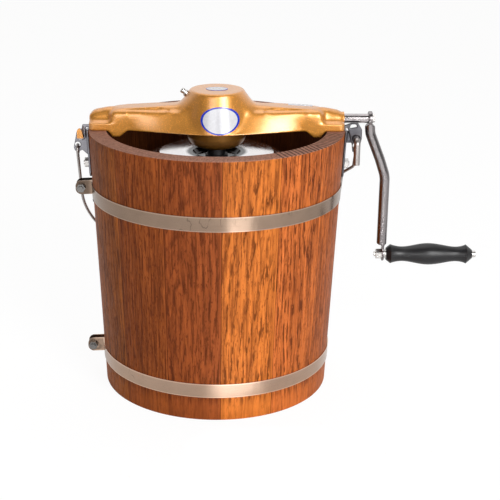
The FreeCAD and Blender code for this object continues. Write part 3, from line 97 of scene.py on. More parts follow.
class FreezerColours(bpy.types.PropertyGroup):
    """Colours of the finishes, as linear values."""
    oak_light: colour_property("Oak, light", "Lightest stave", (0.475, 0.136, 0.022))
    oak_dark: colour_property("Oak, dark", "Darkest stave", (0.18, 0.042, 0.0085))
    # Painted shade: a near-black colour painted on the inside of the tub
    oak_inside: colour_property("Oak, inside", "Shadowed inside of the tub", (0.03, 0.008, 0.0022))
    oak_end: colour_property("Oak end grain", "Dull top of the rim", (0.39, 0.19, 0.13))
    gold: colour_property("Gold paint", "Metallic paint on the castings", (0.64, 0.262, 0.030))
    band: colour_property("Band steel", "Warm grey stainless steel", (0.43, 0.305, 0.225))
    zinc: colour_property("Zinc", "Plated fasteners", (0.62, 0.60, 0.58))
    galvanised: colour_property("Galvanised", "Dull grey brackets", (0.26, 0.255, 0.28))
    wire: colour_property("Wire steel", "Bail and latch pins", (0.42, 0.39, 0.375))
    crank: colour_property("Crank steel", "Dull plated crank", (0.40, 0.37, 0.375))
    lid: colour_property("Lid steel", "Bright spun lid", (0.82, 0.79, 0.79))
    bronze: colour_property("Bush bronze", "Shaft and gear bushes", (0.55, 0.33, 0.13))
    iron: colour_property("Gear iron", "Gears and other dark cast pieces", (0.10, 0.10, 0.105))
    dirt: colour_property("Dirt", "Spots on worn metal", (0.10, 0.075, 0.055))
    grip: colour_property("Grip", "Black grip", (0.008, 0.0075, 0.0085))
    label: colour_property("Label", "Blank label", (0.62, 0.62, 0.65))
    label_edge: colour_property("Label edge", "Border of the label", (0.008, 0.035, 0.46))


# Shader graphs

class Value:
    """A node's output that takes part in Python sums."""

    def __init__(self, graph, socket):
        self.graph = graph
        self.socket = socket

    def maths(self, operation, first, second=0.0):
        return self.graph.add("ShaderNodeMath", {"operation": operation}, {0: first, 1: second})

    def __add__(self, other):
        return self.maths("ADD", self, other)

    def __radd__(self, other):
        return self.maths("ADD", other, self)

    def __sub__(self, other):
        return self.maths("SUBTRACT", self, other)

    def __rsub__(self, other):
        return self.maths("SUBTRACT", other, self)

    def __mul__(self, other):
        return self.maths("MULTIPLY", self, other)

    def __rmul__(self, other):
        return self.maths("MULTIPLY", other, self)

    def __truediv__(self, other):
        return self.maths("DIVIDE", self, other)

    def __rtruediv__(self, other):
        return self.maths("DIVIDE", other, self)

    def __pow__(self, other):
        return self.maths("POWER", self, other)

    def __rpow__(self, other):
        return self.maths("POWER", other, self)


class Graph:
    """The nodes of one material or of the world."""

    def __init__(self, owner, output):
        owner.use_nodes = True
        self.owner = owner
        self.tree = owner.node_tree
        self.tree.nodes.clear()
        self.output = self.tree.nodes.new(output)

    def add(self, kind, settings=None, inputs=None, output=0):
        """A new node: its settings first, then the values or links of its sockets."""
        node = self.tree.nodes.new(kind)
        for key, value in (settings or {}).items():
            if key == "stops":
                self.set_stops(node.color_ramp, value)
            else:
                setattr(node, key, value)
        for key, value in (inputs or {}).items():
            self.feed(node.inputs[key], value)
        return Value(self, node.outputs[output])

    @staticmethod
    def set_stops(ramp, stops):
        while len(ramp.elements) < len(stops):
            ramp.elements.new(1.0)
        for element, (place, level) in zip(ramp.elements, stops):
            element.position = place
            element.color = (level, level, level, 1.0)

    def feed(self, socket, value):
        if isinstance(value, Value):
            self.tree.links.new(value.socket, socket)
        elif socket.type == "RGBA" and len(value) == 3:
            socket.default_value = tuple(value) + (1.0,)
        else:
            socket.default_value = value

    def show(self, shader):
        """Link a shader to the output."""
        self.feed(self.output.inputs[0], shader)
        return self.owner

    def place(self, scale=(1, 1, 1), turn=(0, 0, 0)):
        """Object coordinates, turned and scaled."""
        coords = self.add("ShaderNodeTexCoord", output="Object")
        return self.add("ShaderNodeMapping", None, {"Vector": coords, "Rotation": turn, "Scale": scale})

    def split(self, vector):
        return [self.add("ShaderNodeSeparateXYZ", None, {0: vector}, axis) for axis in range(3)]

    def join(self, x, y, z):
        return self.add("ShaderNodeCombineXYZ", None, {0: x, 1: y, 2: z})

    def noise(self, vector, scale, detail=3.0, roughness=0.5):
        return self.add("ShaderNodeTexNoise", None,
                        {"Vector": vector, "Scale": scale, "Detail": detail, "Roughness": roughness})

    def ramp(self, value, stops):
        """Grey levels at the given places."""
        return self.add("ShaderNodeValToRGB", {"stops": stops}, {0: value})

    def fraction(self, value):
        return self.add("ShaderNodeMath", {"operation": "FRACT"}, {0: value})

    def size(self, value):
        return self.add("ShaderNodeMath", {"operation": "ABSOLUTE"}, {0: value})

    def band(self, value, low, high, to_low=0.0, to_high=1.0):
        """A smooth step from low to high."""
        return self.add("ShaderNodeMapRange", {"interpolation_type": "SMOOTHSTEP"},
                        {0: value, 1: low, 2: high, 3: to_low, 4: to_high})

    def mix(self, factor, first, second):
        return self.add("ShaderNodeMix", {"data_type": "RGBA"}, {0: factor, 6: first, 7: second}, 2)

    def bump(self, height, strength, distance):
        return self.add("ShaderNodeBump", None,
                        {"Height": height, "Strength": strength, "Distance": distance})

    def seen_share(self, share):
        """1 for the camera's rays, and the share for rays that metal mirrors or glass lets through."""
        camera = self.add("ShaderNodeLightPath", output="Is Camera Ray")
        glossy = self.add("ShaderNodeLightPath", output="Is Glossy Ray")
        through = self.add("ShaderNodeLightPath", output="Is Transmission Ray")
        mirrored = glossy.maths("MAXIMUM", glossy, through) * share
        return mirrored.maths("MAXIMUM", mirrored, camera)


class Finish(Graph):
    """One material, built node by node around a Principled shader."""

    def __init__(self, name):
        super().__init__(bpy.data.materials.new(name), "ShaderNodeOutputMaterial")
        self.shader = self.tree.nodes.new("ShaderNodeBsdfPrincipled")
        self.tree.links.new(self.shader.outputs[0], self.output.inputs[0])

    def finish(self, **sockets):
        """Feed the Principled shader: base_color becomes the socket named Base Color."""
        for key, value in sockets.items():
            words = key.replace("_", " ").title().replace("Ior", "IOR")
            self.feed(self.shader.inputs[words], value)
        return self.owner


def colours():
    return bpy.context.scene.freezer_colours


def sizes():
    return bpy.context.scene.freezer_sizes


def blended(first, second, share):
    return tuple(a + (b - a) * share for a, b in zip(first, second))


def shaded(rgb, share):
    """A colour made lighter or darker, up to white."""
    return tuple(min(1.0, share * part) for part in rgb)


def paint(node, material):
    """Give a CAD node its finish."""
    node_object = NODES[node]
    if not node_object.material_slots:
        node_object.data.materials.append(material)
    for slot in node_object.material_slots:
        slot.material = material


# Modelling helpers

MERGE_DISTANCE = 0.01 * MM
LEAST_WEIGHT = 0.01


def pick(piece):
    """Select one object alone and make it the active one."""
    bpy.ops.object.select_all(action="DESELECT")
    piece.hide_set(False)
    piece.select_set(True)
    bpy.context.view_layer.objects.active = piece


def change(piece, kind, **settings):
    """Add a modifier and apply it."""
    modifier = piece.modifiers.new(kind.lower(), kind)
    for key, value in settings.items():
        setattr(modifier, key, value)
    pick(piece)
    bpy.ops.object.modifier_apply(modifier=modifier.name)


def cad_copy(node, name):
    """A merged copy of a CAD node's mesh, to be worked on."""
    piece = bpy.data.objects.new(name, NODES[node].data.copy())
    bpy.context.scene.collection.objects.link(piece)
    pick(piece)
    bpy.ops.object.mode_set(mode="EDIT")
    bpy.ops.mesh.select_all(action="SELECT")
    bpy.ops.mesh.remove_doubles(threshold=MERGE_DISTANCE)
    bpy.ops.mesh.normals_make_consistent(inside=False)
    bpy.ops.object.mode_set(mode="OBJECT")
    return piece


def weigh(piece, name, weight):
    """A vertex group whose weights come from a rule on the vertex's place."""
    group = piece.vertex_groups.new(name=name)
    for vertex in piece.data.vertices:
        value = weight(vertex.co)
        if value > LEAST_WEIGHT:
            group.add([vertex.index], value, "REPLACE")


def step(value, low, high):
    share = min(1.0, max(0.0, (value - low) / (high - low)))
    return share * share * (3 - 2 * share)


def soft_cast(piece, voxel, passes):
    """Give a piece one skin with the softened edges of a casting or forging."""
    change(piece, "REMESH", mode="VOXEL", voxel_size=voxel, adaptivity=0.0)
    change(piece, "SMOOTH", factor=0.5, iterations=passes)


def lofted(name, rings, sides=96):
    """A closed piece about Z: oval rings (half width, half depth, height) pulled one from another."""
    width, depth, height = rings[0]
    bpy.ops.object.select_all(action="DESELECT")
    bpy.ops.mesh.primitive_circle_add(vertices=sides, radius=1.0, fill_type="NGON", location=(0, 0, 0))
    piece = bpy.context.object
    piece.name = name
    bpy.ops.object.mode_set(mode="EDIT")
    bpy.ops.mesh.select_all(action="SELECT")
    bpy.ops.transform.resize(value=(width, depth, 1), center_override=(0, 0, 0))
    bpy.ops.transform.translate(value=(0, 0, height))
    for next_width, next_depth, next_height in rings[1:]:
        bpy.ops.mesh.extrude_region_move(TRANSFORM_OT_translate={"value": (0, 0, next_height - height)})
        share = (next_width / width, next_depth / depth, 1)
        bpy.ops.transform.resize(value=share, center_override=(0, 0, next_height))
        width, depth, height = next_width, next_depth, next_height
    bpy.ops.mesh.select_all(action="SELECT")
    bpy.ops.mesh.normals_make_consistent(inside=False)
    bpy.ops.object.mode_set(mode="OBJECT")
    return piece


def turned(name, profile, sides=48):
    """A turned piece about Z from (radius, height) in millimetres."""
    return lofted(name, [(radius * MM, radius * MM, height * MM) for radius, height in profile], sides)


def aim(piece, place, direction):
    """Turn a piece made about Z to a direction and carry it to its place."""
    turn = Vector((0, 0, 1)).rotation_difference(Vector(direction)).to_euler()
    piece.rotation_euler = turn
    piece.location = place
    pick(piece)
    bpy.ops.object.transform_apply(location=True, rotation=True, scale=True)


def join_pieces(piece, others):
    """Join other objects into a piece."""
    pick(piece)
    for other in others:
        other.select_set(True)
    bpy.ops.object.join()


def finish_piece(piece, body, material, nodes, angle=35.0):
    """Fix the piece's place in its mesh, shade it and tie it to its body."""
    pick(piece)
    bpy.ops.object.transform_apply(location=True, rotation=True, scale=True)
    bpy.ops.object.shade_smooth_by_angle(angle=math.radians(angle))
    piece.data.materials.clear()
    piece.data.materials.append(material)
    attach(piece, body)
    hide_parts(*nodes)


# Finishes

# Each stave: tone, redness, growth ring (mm), heart to the side and behind the face (mm), lean, line strength
STAVE_LOOKS = {
    1: (0.88, 0.0, 8.5, -13.0, 14.0, 0.07, 1.15),
    2: (0.87, 0.35, 5.8, -22.0, 24.0, -0.10, 1.4),
    3: (0.6, 0.3, 5.0, 14.0, 30.0, 0.05, 0.7),
    12: (0.3, -0.2, 5.2, -20.0, 60.0, 0.03, 0.8),
    13: (0.15, 0.1, 4.4, -75.0, 40.0, 0.02, 0.65),
    14: (0.11, 0.2, 6.5, 17.0, 9.0, 0.09, 0.8),
}
# How clearly the growth rings show on the rim of a stave
RIM_STRIPES = {2: 0.95, 3: 0.9, 12: 0.3, 13: 0.35}
FAINT_STRIPES = 0.15
# Grain of the oak: cells per metre across and along a stave, shift from stave to stave, detail and roughness
GRAIN = {
    "broad": (11.0, 2.6, 3.7, 2.0, 0.5),
    "crook": (45.0, 9.0, 1.3, 3.0, 0.6),
    "fleck": (560.0, 130.0, 0.0, 2.0, 0.6),
    "fine": (400.0, 13.0, 0.7, 2.0, 0.5),
    "streak": (110.0, 3.0, 1.0, 3.0, 0.6),
    "blotch": (18.0, 7.0, 1.9, 3.0, 0.5),
}
# Pore dashes: cells per metre across, stretch along, detail and roughness, levels where they start and end
PORES_ACROSS, PORE_STRETCH = 420.0, 0.3
PORE_NOISE = (2.0, 0.55)
PORE_LEVELS = (0.44, 0.56)
# Redness of a stave: its loss of green and gain of blue
RED_GREEN, RED_BLUE = 0.22, 0.5
# Darkest part of the oak beside its lightest, for red, green and blue
DEEP_SHARE = (0.34, 0.27, 0.27)
# Tones of the oak: shares of the way from light to deep, shares of the deep and shares of the light colour
SOFT_SHARE, STREAK_SHARE, DUSK_SHARE = 0.6, 0.42, 0.9
PORE_SHARE, SEAM_SHARE = 0.7, 0.3
BRIGHT_SHARE, STREAK_LIGHT = 1.5, 1.12
STREAK_LEVELS = (0.36, 0.64)
# Layers of tone: grain, where it starts and where it is full, strength and tone
LAYERS_UNDER_PORES = (("blotch", 0.45, 0.75, 0.35, "soft"), ("fine", 0.53, 0.62, 0.72, "dusk"),
                      ("fine", 0.43, 0.34, 0.45, "bright"))
LAYERS_OVER_PORES = (("fleck", 0.56, 0.66, 0.65, "deep"), ("fleck", 0.40, 0.30, 0.3, "bright"))
# Levels of dark over one growth ring, on the stave's face and on the rim
FACE_RING = ((0.0, 0.0), (0.14, 1.0), (0.34, 0.8), (0.62, 0.0))
RIM_RING = ((0.0, 0.0), (0.2, 1.0), (0.4, 1.0), (0.6, 0.0))
RIM_RING_WIDTH = 6.2 * MM
# Growth rings: share of the lean that goes sideways, how far they waver aside and in depth, and their crooks
SIDE_LEAN = 0.3
WAVER_ASIDE, WAVER_DEEP, CROOK = 30 * MM, 45 * MM, 4 * MM
# Stave face from the tub's axis and middle of its height
FACE_RADIUS = 152 * MM
MIDDLE_HEIGHT = 160 * MM
# Inner wall: how much it widens with height, and where its painted shade starts and is full at the floor
WALL_TAPER = 0.0448
INSIDE_SHADE_START, INSIDE_SHADE_FULL = 140.5 * MM, 137.5 * MM
# Painted light at the foot, for light bounced up from the floor: height where the lighter tone starts and
# where it is full
BOUNCE_LIGHT_START, BOUNCE_LIGHT_FULL = 32 * MM, 14 * MM
# Painted highlight and dark seam at a joint: where they start and are full, as shares of the distance from
# the axis
EDGE_HIGHLIGHT_START, EDGE_HIGHLIGHT_FULL = 0.018, 0.008
SEAM_START, SEAM_FULL = 0.0042, 0.0006
# Strength of pore dashes, painted light at the foot, painted highlight on the edge, dark seam and painted
# shade inside
DASH_STRENGTH, BOUNCE_LIGHT_STRENGTH, EDGE_HIGHLIGHT_STRENGTH = 0.85, 0.42, 0.4
SEAM_STRENGTH, INSIDE_SHADE_STRENGTH = 0.85, 0.85
# End grain: cells per metre across and outward, their levels, shares of its colour in them and in the rings
END_ACROSS, END_OUTWARD = 620.0, 240.0
END_LEVELS = (0.36, 0.62)
END_DULL, END_RING = 0.6, 0.16
# Slant of the rings on the rim, and where the end grain starts and is full below the rim
RIM_SLANT = 0.3
RIM_START, RIM_FULL = 0.9 * MM, 0.3 * MM
# Roughness by level of the flecks (from, to, roughness there), more on the rim; height of flecks and bump
OAK_ROUGHNESS = (0.3, 0.8, 0.4, 0.58)
RIM_ROUGHER = 0.25
FLECK_HEIGHT = 0.4
OAK_BUMP = (0.3, 0.0005)


def stave_look(number):
    """A look for a stave that the photograph doesn't show."""
    swing = math.sin(2.3 * number)
    other = math.sin(4.1 * number + 1.0)
    return (0.45 + 0.3 * swing, 0.2 * other, 5.5 + 1.8 * other, 28.0 * swing, 24.0 + 14.0 * other,
            0.08 * swing, 0.7)


def oak(number, angle):
    """Stained oak of one stave: slanting growth rings with pore dashes, and dull end grain on the rim."""
    graph = Finish("oak_%02d" % number)
    tone, red, ring_mm, aside, behind, lean, strength = STAVE_LOOKS.get(number, stave_look(number))
    light = blended(colours().oak_dark, colours().oak_light, tone)
    light = (light[0], light[1] * (1 - RED_GREEN * red), light[2] * (1 + RED_BLUE * red))
    deep = tuple(part * share for part, share in zip(light, DEEP_SHARE))
    tones = {
        "bright": shaded(light, BRIGHT_SHARE),
        "soft": blended(light, deep, SOFT_SHARE),
        "dusk": blended(light, deep, DUSK_SHARE),
        "deep": deep,
    }
    across, outward, up = graph.split(graph.place(turn=(0, 0, -angle)))
    grain = {}
    for name, (wide, long, shift, detail, roughness) in GRAIN.items():
        cells = graph.join(across * wide, outward * wide, up * long + shift * number)
        grain[name] = graph.noise(cells, 1.0, detail, roughness)

    # Growth rings: distance from the heart of the tree, which leans against the stave
    waver = grain["broad"] - 0.5
    side = across - aside * MM + up * (SIDE_LEAN * lean) + waver * WAVER_ASIDE
    depth = outward - FACE_RADIUS + behind * MM + (up - MIDDLE_HEIGHT) * lean + waver * WAVER_DEEP
    distance = (side * side + depth * depth) ** 0.5
    turns = (distance + (grain["crook"] - 0.5) * CROOK) / (ring_mm / MEAN_RING * sizes().ring_width)
    line = graph.ramp(graph.fraction(turns), FACE_RING)
    stretch = PORE_STRETCH / sizes().pore_length
    cells = graph.join(across * PORES_ACROSS, outward * PORES_ACROSS, up * stretch + number)
    dash = graph.band(graph.noise(cells, 1.0, *PORE_NOISE), *PORE_LEVELS)

    # Face of the stave
    streaked = graph.band(grain["streak"], *STREAK_LEVELS)
    body = graph.mix(streaked, blended(light, deep, STREAK_SHARE), shaded(light, STREAK_LIGHT))
    for name, start, full, share, layer in LAYERS_UNDER_PORES:
        body = graph.mix(graph.band(grain[name], start, full) * share, body, tones[layer])
    body = graph.mix(line * dash * (DASH_STRENGTH * strength), body, shaded(deep, PORE_SHARE))
    for name, start, full, share, layer in LAYERS_OVER_PORES:
        body = graph.mix(graph.band(grain[name], start, full) * share, body, tones[layer])
    # Painted light: the foot is made lighter, for light bounced up from the floor
    body = graph.mix(graph.band(up, BOUNCE_LIGHT_START, BOUNCE_LIGHT_FULL) * BOUNCE_LIGHT_STRENGTH, body, tones["bright"])

    # Joints: a painted highlight on the left edge and a dark seam
    joint = across / outward
    edge = graph.band(joint, EDGE_HIGHLIGHT_START - STAVE_EDGE, EDGE_HIGHLIGHT_FULL - STAVE_EDGE)
    seam = graph.band(graph.size(joint), STAVE_EDGE - SEAM_START, STAVE_EDGE - SEAM_FULL)
    body = graph.mix(edge * EDGE_HIGHLIGHT_STRENGTH, body, tones["bright"])
    body = graph.mix(seam * SEAM_STRENGTH, body, shaded(deep, SEAM_SHARE))

    # Inside of the tub: painted shade, a near-black colour over the inner wall
    radius = (across * across + outward * outward) ** 0.5
    inside = graph.band(radius - up * WALL_TAPER, INSIDE_SHADE_START, INSIDE_SHADE_FULL)
    body = graph.mix(inside * INSIDE_SHADE_STRENGTH, body, tuple(colours().oak_inside))

    # End grain on the rim
    pale = tuple(colours().oak_end)
    end_dash = graph.noise(graph.join(across * END_ACROSS, outward * END_OUTWARD, up), 1.0, 3.0, 0.6)
    end = graph.mix(graph.band(end_dash, *END_LEVELS), shaded(pale, END_DULL), pale)
    slant = (across - outward * RIM_SLANT + grain["crook"] * CROOK) / RIM_RING_WIDTH
    stripe = graph.ramp(graph.fraction(slant), RIM_RING) * RIM_STRIPES.get(number, FAINT_STRIPES)
    end = graph.mix(stripe, end, shaded(pale, END_RING))
    top = graph.band(up, RIM - RIM_START, RIM - RIM_FULL)

    rough = graph.band(grain["fleck"], *OAK_ROUGHNESS) + top * RIM_ROUGHER
    return graph.finish(base_color=graph.mix(top, body, end), roughness=rough, specular_ior_level=0.08,
                        normal=graph.bump(grain["fleck"] * FLECK_HEIGHT - dash, *OAK_BUMP))


# Gold paint: cells per metre of grain, shading and sparkle, and shares of the gold in the last two
GOLD_GRAIN, GOLD_SHADING, GOLD_SPARKLE = 520.0, 26.0, 1250.0
SHADING_SHARE, SPARKLE_SHARE = 0.72, 1.4
# Levels where smudges and shading start and are full
SMUDGE_LEVELS = (0.35, 0.75)


def gold_paint(name="gold_paint", shade=1.0, coat=1.0):
    """Metallic gold paint with fine sparkle over a slightly grainy casting."""
    graph = Finish(name)
    coords = graph.place()
    grain = graph.noise(coords, GOLD_GRAIN, 3.0, 0.6)
    broad = graph.noise(coords, GOLD_SHADING, 2.0)
    spark = graph.add("ShaderNodeTexVoronoi", None, {"Vector": coords, "Scale": GOLD_SPARKLE}, "Color")
    flake = graph.add("ShaderNodeSeparateColor", None, {0: spark})
    gold = shaded(colours().gold, shade)
    colour = graph.mix(graph.band(flake, 0.72, 1.0), gold, shaded(gold, SPARKLE_SHARE))
    colour = graph.mix(graph.band(broad, *SMUDGE_LEVELS) * 0.25, colour, shaded(gold, SHADING_SHARE))
    rough = graph.band(flake, 0.0, 1.0, 0.36, 0.54)
    return graph.finish(base_color=colour, metallic=0.7, roughness=rough, coat_weight=coat,
                        coat_roughness=0.27, coat_ior=1.7, normal=graph.bump(grain, 0.3, 0.0006))


# Scratches of rolled metal: cells per metre along X, Y and Z
ROLLED = (60.0, 60.0, 1400.0)
# Smudges and spots: cells per metre
SMUDGE_CELLS, SPOT_CELLS = 38.0, 310.0
# Levels where scratches and spots start and are full, and levels between which the roughness changes
SCRATCH_LEVELS, SPOT_LEVELS, ROUGH_LEVELS = (0.3, 0.8), (0.62, 0.8), (0.2, 0.8)
# Shares of a metal's colour in scratches and smudges, and strength and depth of the scratches
SCRATCH_SHARE, SMUDGE_SHARE = 1.25, 0.55
SCRATCH_BUMP = (0.12, 0.0003)


def worn_metal(name, rgb, roughness, scratch, grime):
    """Metal with fine scratches in one direction, smudges and a little dirt."""
    graph = Finish(name)
    coords = graph.place()
    lines = graph.noise(graph.place(scale=scratch), 1.0, 3.0, 0.6)
    smudge = graph.noise(coords, SMUDGE_CELLS, 4.0, 0.6)
    spots = graph.noise(coords, SPOT_CELLS, 2.0)
    colour = graph.mix(graph.band(smudge, *SMUDGE_LEVELS) * grime, rgb, shaded(rgb, SMUDGE_SHARE))
    colour = graph.mix(graph.band(spots, *SPOT_LEVELS) * grime, colour, tuple(colours().dirt))
    colour = graph.mix(graph.band(lines, *SCRATCH_LEVELS) * 0.3, colour, shaded(rgb, SCRATCH_SHARE))
    rough = graph.band(smudge, *ROUGH_LEVELS, roughness - 0.07, roughness + 0.1)
    return graph.finish(base_color=colour, metallic=1.0, roughness=rough,
                        normal=graph.bump(lines, *SCRATCH_BUMP))


# Where the bands turn out to their clamps, left of the tub's axis
CLAMP_START, CLAMP_FULL = -156 * MM, -162 * MM
# Painted dark reflections in the bands: cells per metre of their veins and patches, width of a vein and
# levels of a patch
REFLECTION_VEIN_CELLS, REFLECTION_PATCH_CELLS = 60.0, 16.0
REFLECTION_VEIN_WIDTH, REFLECTION_PATCH_LEVELS = 0.0005, (0.6, 0.66)
# Shares of the band's colour in smudges, in painted dark reflections and clamps, and in painted highlights on
# the edges
BAND_SMUDGE, BAND_DARK, BAND_HIGHLIGHT = 0.62, 0.35, 1.7


def band_steel(name, rgb, low, high):
    """Rolled stainless band: painted highlights on its rounded edges, smudges, a few painted dark reflections
    and dark clamps.
    """
    graph = Finish(name)
    coords = graph.place()
    across, _, up = graph.split(coords)
    lines = graph.noise(graph.place(scale=ROLLED), 1.0, 3.0, 0.6)
    smudge = graph.noise(coords, SMUDGE_CELLS, 4.0, 0.6)
    reflection_vein = graph.noise(graph.place(scale=(1.0, 1.0, 0.6), turn=(0, 0.5, 0)), REFLECTION_VEIN_CELLS, 2.0)
    reflection_patch = graph.band(graph.noise(coords, REFLECTION_PATCH_CELLS, 2.0), *REFLECTION_PATCH_LEVELS)
    # Painted dark reflections: thin veins in patches, darker in colour and also cut into the bump
    dark_reflection = graph.band((reflection_vein - 0.5) ** 2.0, REFLECTION_VEIN_WIDTH, 0.0) * reflection_patch
    colour = graph.mix(graph.band(smudge, *SMUDGE_LEVELS) * 0.25, rgb, shaded(rgb, BAND_SMUDGE))
    colour = graph.mix(dark_reflection * 0.6, colour, shaded(rgb, BAND_DARK))
    colour = graph.mix(graph.band(lines, *SCRATCH_LEVELS) * 0.25, colour, shaded(rgb, SCRATCH_SHARE))
    # Painted highlights along the band's rounded lower and upper edges
    lower_highlight = graph.band(up, low + 1.5 * MM, low + 0.4 * MM)
    upper_highlight = graph.band(up, high - 2.0 * MM, high - 0.7 * MM)
    colour = graph.mix((lower_highlight + upper_highlight) * 0.7, colour, shaded(rgb, BAND_HIGHLIGHT))
    clamp = graph.band(across, CLAMP_START, CLAMP_FULL)
    colour = graph.mix(clamp * 0.75, colour, shaded(rgb, BAND_DARK))
    rough = graph.band(smudge, *ROUGH_LEVELS, 0.14, 0.24)
    return graph.finish(base_color=colour, metallic=1.0, roughness=rough,
                        normal=graph.bump(lines - dark_reflection * 0.5, *SCRATCH_BUMP))


# Painted dark reflection in the middle of the lid round its hub: radius where it starts and where it is full
LID_REFLECTION_START, LID_REFLECTION_FULL = 40 * MM, 34 * MM
LID_REFLECTION_COLOUR = (0.02, 0.018, 0.018)
# Rings turned into the lid: cells per metre outward and up
RINGS_OUTWARD, RINGS_UP = 2600.0, 900.0


def spun_steel():
    """Bright lid steel with rings turned into it and a painted dark reflection in its middle."""
    graph = Finish("spun_steel")
    x, y, z = graph.split(graph.place())
    radius = (x * x + y * y) ** 0.5
    rings = graph.noise(graph.join(radius * RINGS_OUTWARD, 0.0, z * RINGS_UP), 1.0, 3.0, 0.7)
    smudge = graph.noise(graph.place(), 30.0, 3.0)
    rgb = tuple(colours().lid)
    colour = graph.mix(graph.band(smudge, 0.4, 0.8) * 0.2, rgb, shaded(rgb, 0.75))
    # Painted dark reflection: the lid's middle round its hub is made near black
    colour = graph.mix(graph.band(radius, LID_REFLECTION_START, LID_REFLECTION_FULL), colour, LID_REFLECTION_COLOUR)
    rough = graph.band(smudge, *ROUGH_LEVELS, 0.05, 0.12)
    return graph.finish(base_color=colour, metallic=1.0, roughness=rough,
                        normal=graph.bump(rings, 0.06, 0.0003))


# Scuffs on the grip: cells per metre along X, Y and Z
SCUFFS = (40, 240, 240)


def grip_black():
    """Satin black with faint scuffs."""
    graph = Finish("grip_black")
    scuff = graph.noise(graph.place(scale=SCUFFS), 1.0, 4.0, 0.65)
    rgb = tuple(colours().grip)
    colour = graph.mix(graph.band(scuff, 0.55, 0.8) * 0.5, rgb, shaded(rgb, 3.0))
    return graph.finish(base_color=colour, roughness=graph.band(scuff, 0.3, 0.8, 0.32, 0.46),
                        normal=graph.bump(scuff, 0.05, 0.0003), specular_ior_level=0.4)


# Faint specks on a label: cells per metre and colour
SPECK_CELLS = 240.0
SPECK_COLOUR = (0.7, 0.7, 0.74)


def blank_label(name, centre, half_width, half_height, border, upright):
    """White label with a coloured border; its oval is measured upright or lying flat."""
    graph = Finish(name)
    x, y, z = graph.split(graph.place())
    across = (x - centre[0]) / half_width
    along = ((z if upright else y) - centre[1]) / half_height
    reach = (across * across + along * along) ** 0.5
    edge = graph.band(reach, 1.0 - border, 1.0 - 0.8 * border)
    specks = graph.noise(graph.place(), SPECK_CELLS, 2.0)
    white = graph.mix(specks * 0.12, tuple(colours().label), SPECK_COLOUR)
    colour = graph.mix(edge, white, tuple(colours().label_edge))
    return graph.finish(base_color=colour, roughness=graph.band(specks, 0.3, 0.7, 0.22, 0.3),
                        coat_weight=0.3, coat_roughness=0.05)


# Stage

WHITE, WARM_WHITE = (1.0, 1.0, 1.0), (1.0, 0.985, 0.97)
TUB_MIDDLE = (0.0, 0.0, 0.25)
# Lamps that face the tub: name, place, width, height and power
LAMPS = (
    ("key_lamp", (0.98, -1.85, 0.98), 0.9, 1.2, 46.0),
    ("front_lamp", (-0.55, -2.3, 0.75), 1.2, 0.9, 14.0),
    ("top_lamp", (0.0, 0.5, 2.1), 1.4, 1.4, 7.0),
)
# Lamps that light two patches of the floor, which the bands mirror: name, place to the right and in front,
# width, depth, power and spread in degrees
FLOOR_LAMPS = (
    ("near_floor_lamp", 0.06, 0.23, 0.11, 0.06, 0.105, 7),
    ("far_floor_lamp", 0.222, 0.645, 0.19, 0.16, 1.35, 9),
)
FLOOR_LAMP_HEIGHT = 0.8
# Strength of the light from the room in front of the tub and from the backdrop behind it
ROOM_LIGHT, BACKDROP_LIGHT = 0.14, 0.95
# Y part of a direction where the room ends and where the backdrop is full
ROOM_END, BACKDROP_FULL = -0.35, 0.75
FLOOR_SIZE = 8.0
# Floor: its own grey, strength and share of its white glow, and how much of the glow metal mirrors
FLOOR_GREY = (0.86, 0.86, 0.86)
FLOOR_GLOW, FLOOR_SHARE, FLOOR_MIRRORED = 1.03, 0.9, 0.3


def soft_lamp(name, place, width, height, power):
    """A rectangular lamp that shines straight down until it is turned."""
    data = bpy.data.lights.new(name, "AREA")
    data.shape = "RECTANGLE"
    data.size = width
    data.size_y = height
    data.energy = power
    lamp = bpy.data.objects.new(name, data)
    bpy.context.scene.collection.objects.link(lamp)
    lamp.location = place
    return lamp


def world_light():
    """White to the camera and, behind the tub, to mirrored rays; else a bright backdrop and a dim room."""
    world = bpy.data.worlds.new("studio")
    bpy.context.scene.world = world
    graph = Graph(world, "ShaderNodeOutputWorld")
    toward = graph.split(graph.add("ShaderNodeTexCoord", output="Generated"))[1]
    behind = graph.band(toward, ROOM_END, BACKDROP_FULL)
    power = graph.band(toward, ROOM_END, BACKDROP_FULL, ROOM_LIGHT, BACKDROP_LIGHT)
    light = graph.add("ShaderNodeBackground", None, {"Color": WARM_WHITE, "Strength": power})
    white = graph.add("ShaderNodeBackground", None, {"Color": WHITE, "Strength": 1.0})
    graph.show(graph.add("ShaderNodeMixShader", None, {0: graph.seen_share(behind), 1: light, 2: white}))


def floor_finish():
    """Pale floor that reads as white and keeps a faint shadow."""
    graph = Graph(bpy.data.materials.new("studio_floor"), "ShaderNodeOutputMaterial")
    paper = graph.add("ShaderNodeBsdfDiffuse", None, {"Color": FLOOR_GREY})
    white = graph.add("ShaderNodeEmission", None, {"Strength": FLOOR_GLOW})
    share = graph.seen_share(FLOOR_MIRRORED) * FLOOR_SHARE
    return graph.show(graph.add("ShaderNodeMixShader", None, {0: share, 1: paper, 2: white}))


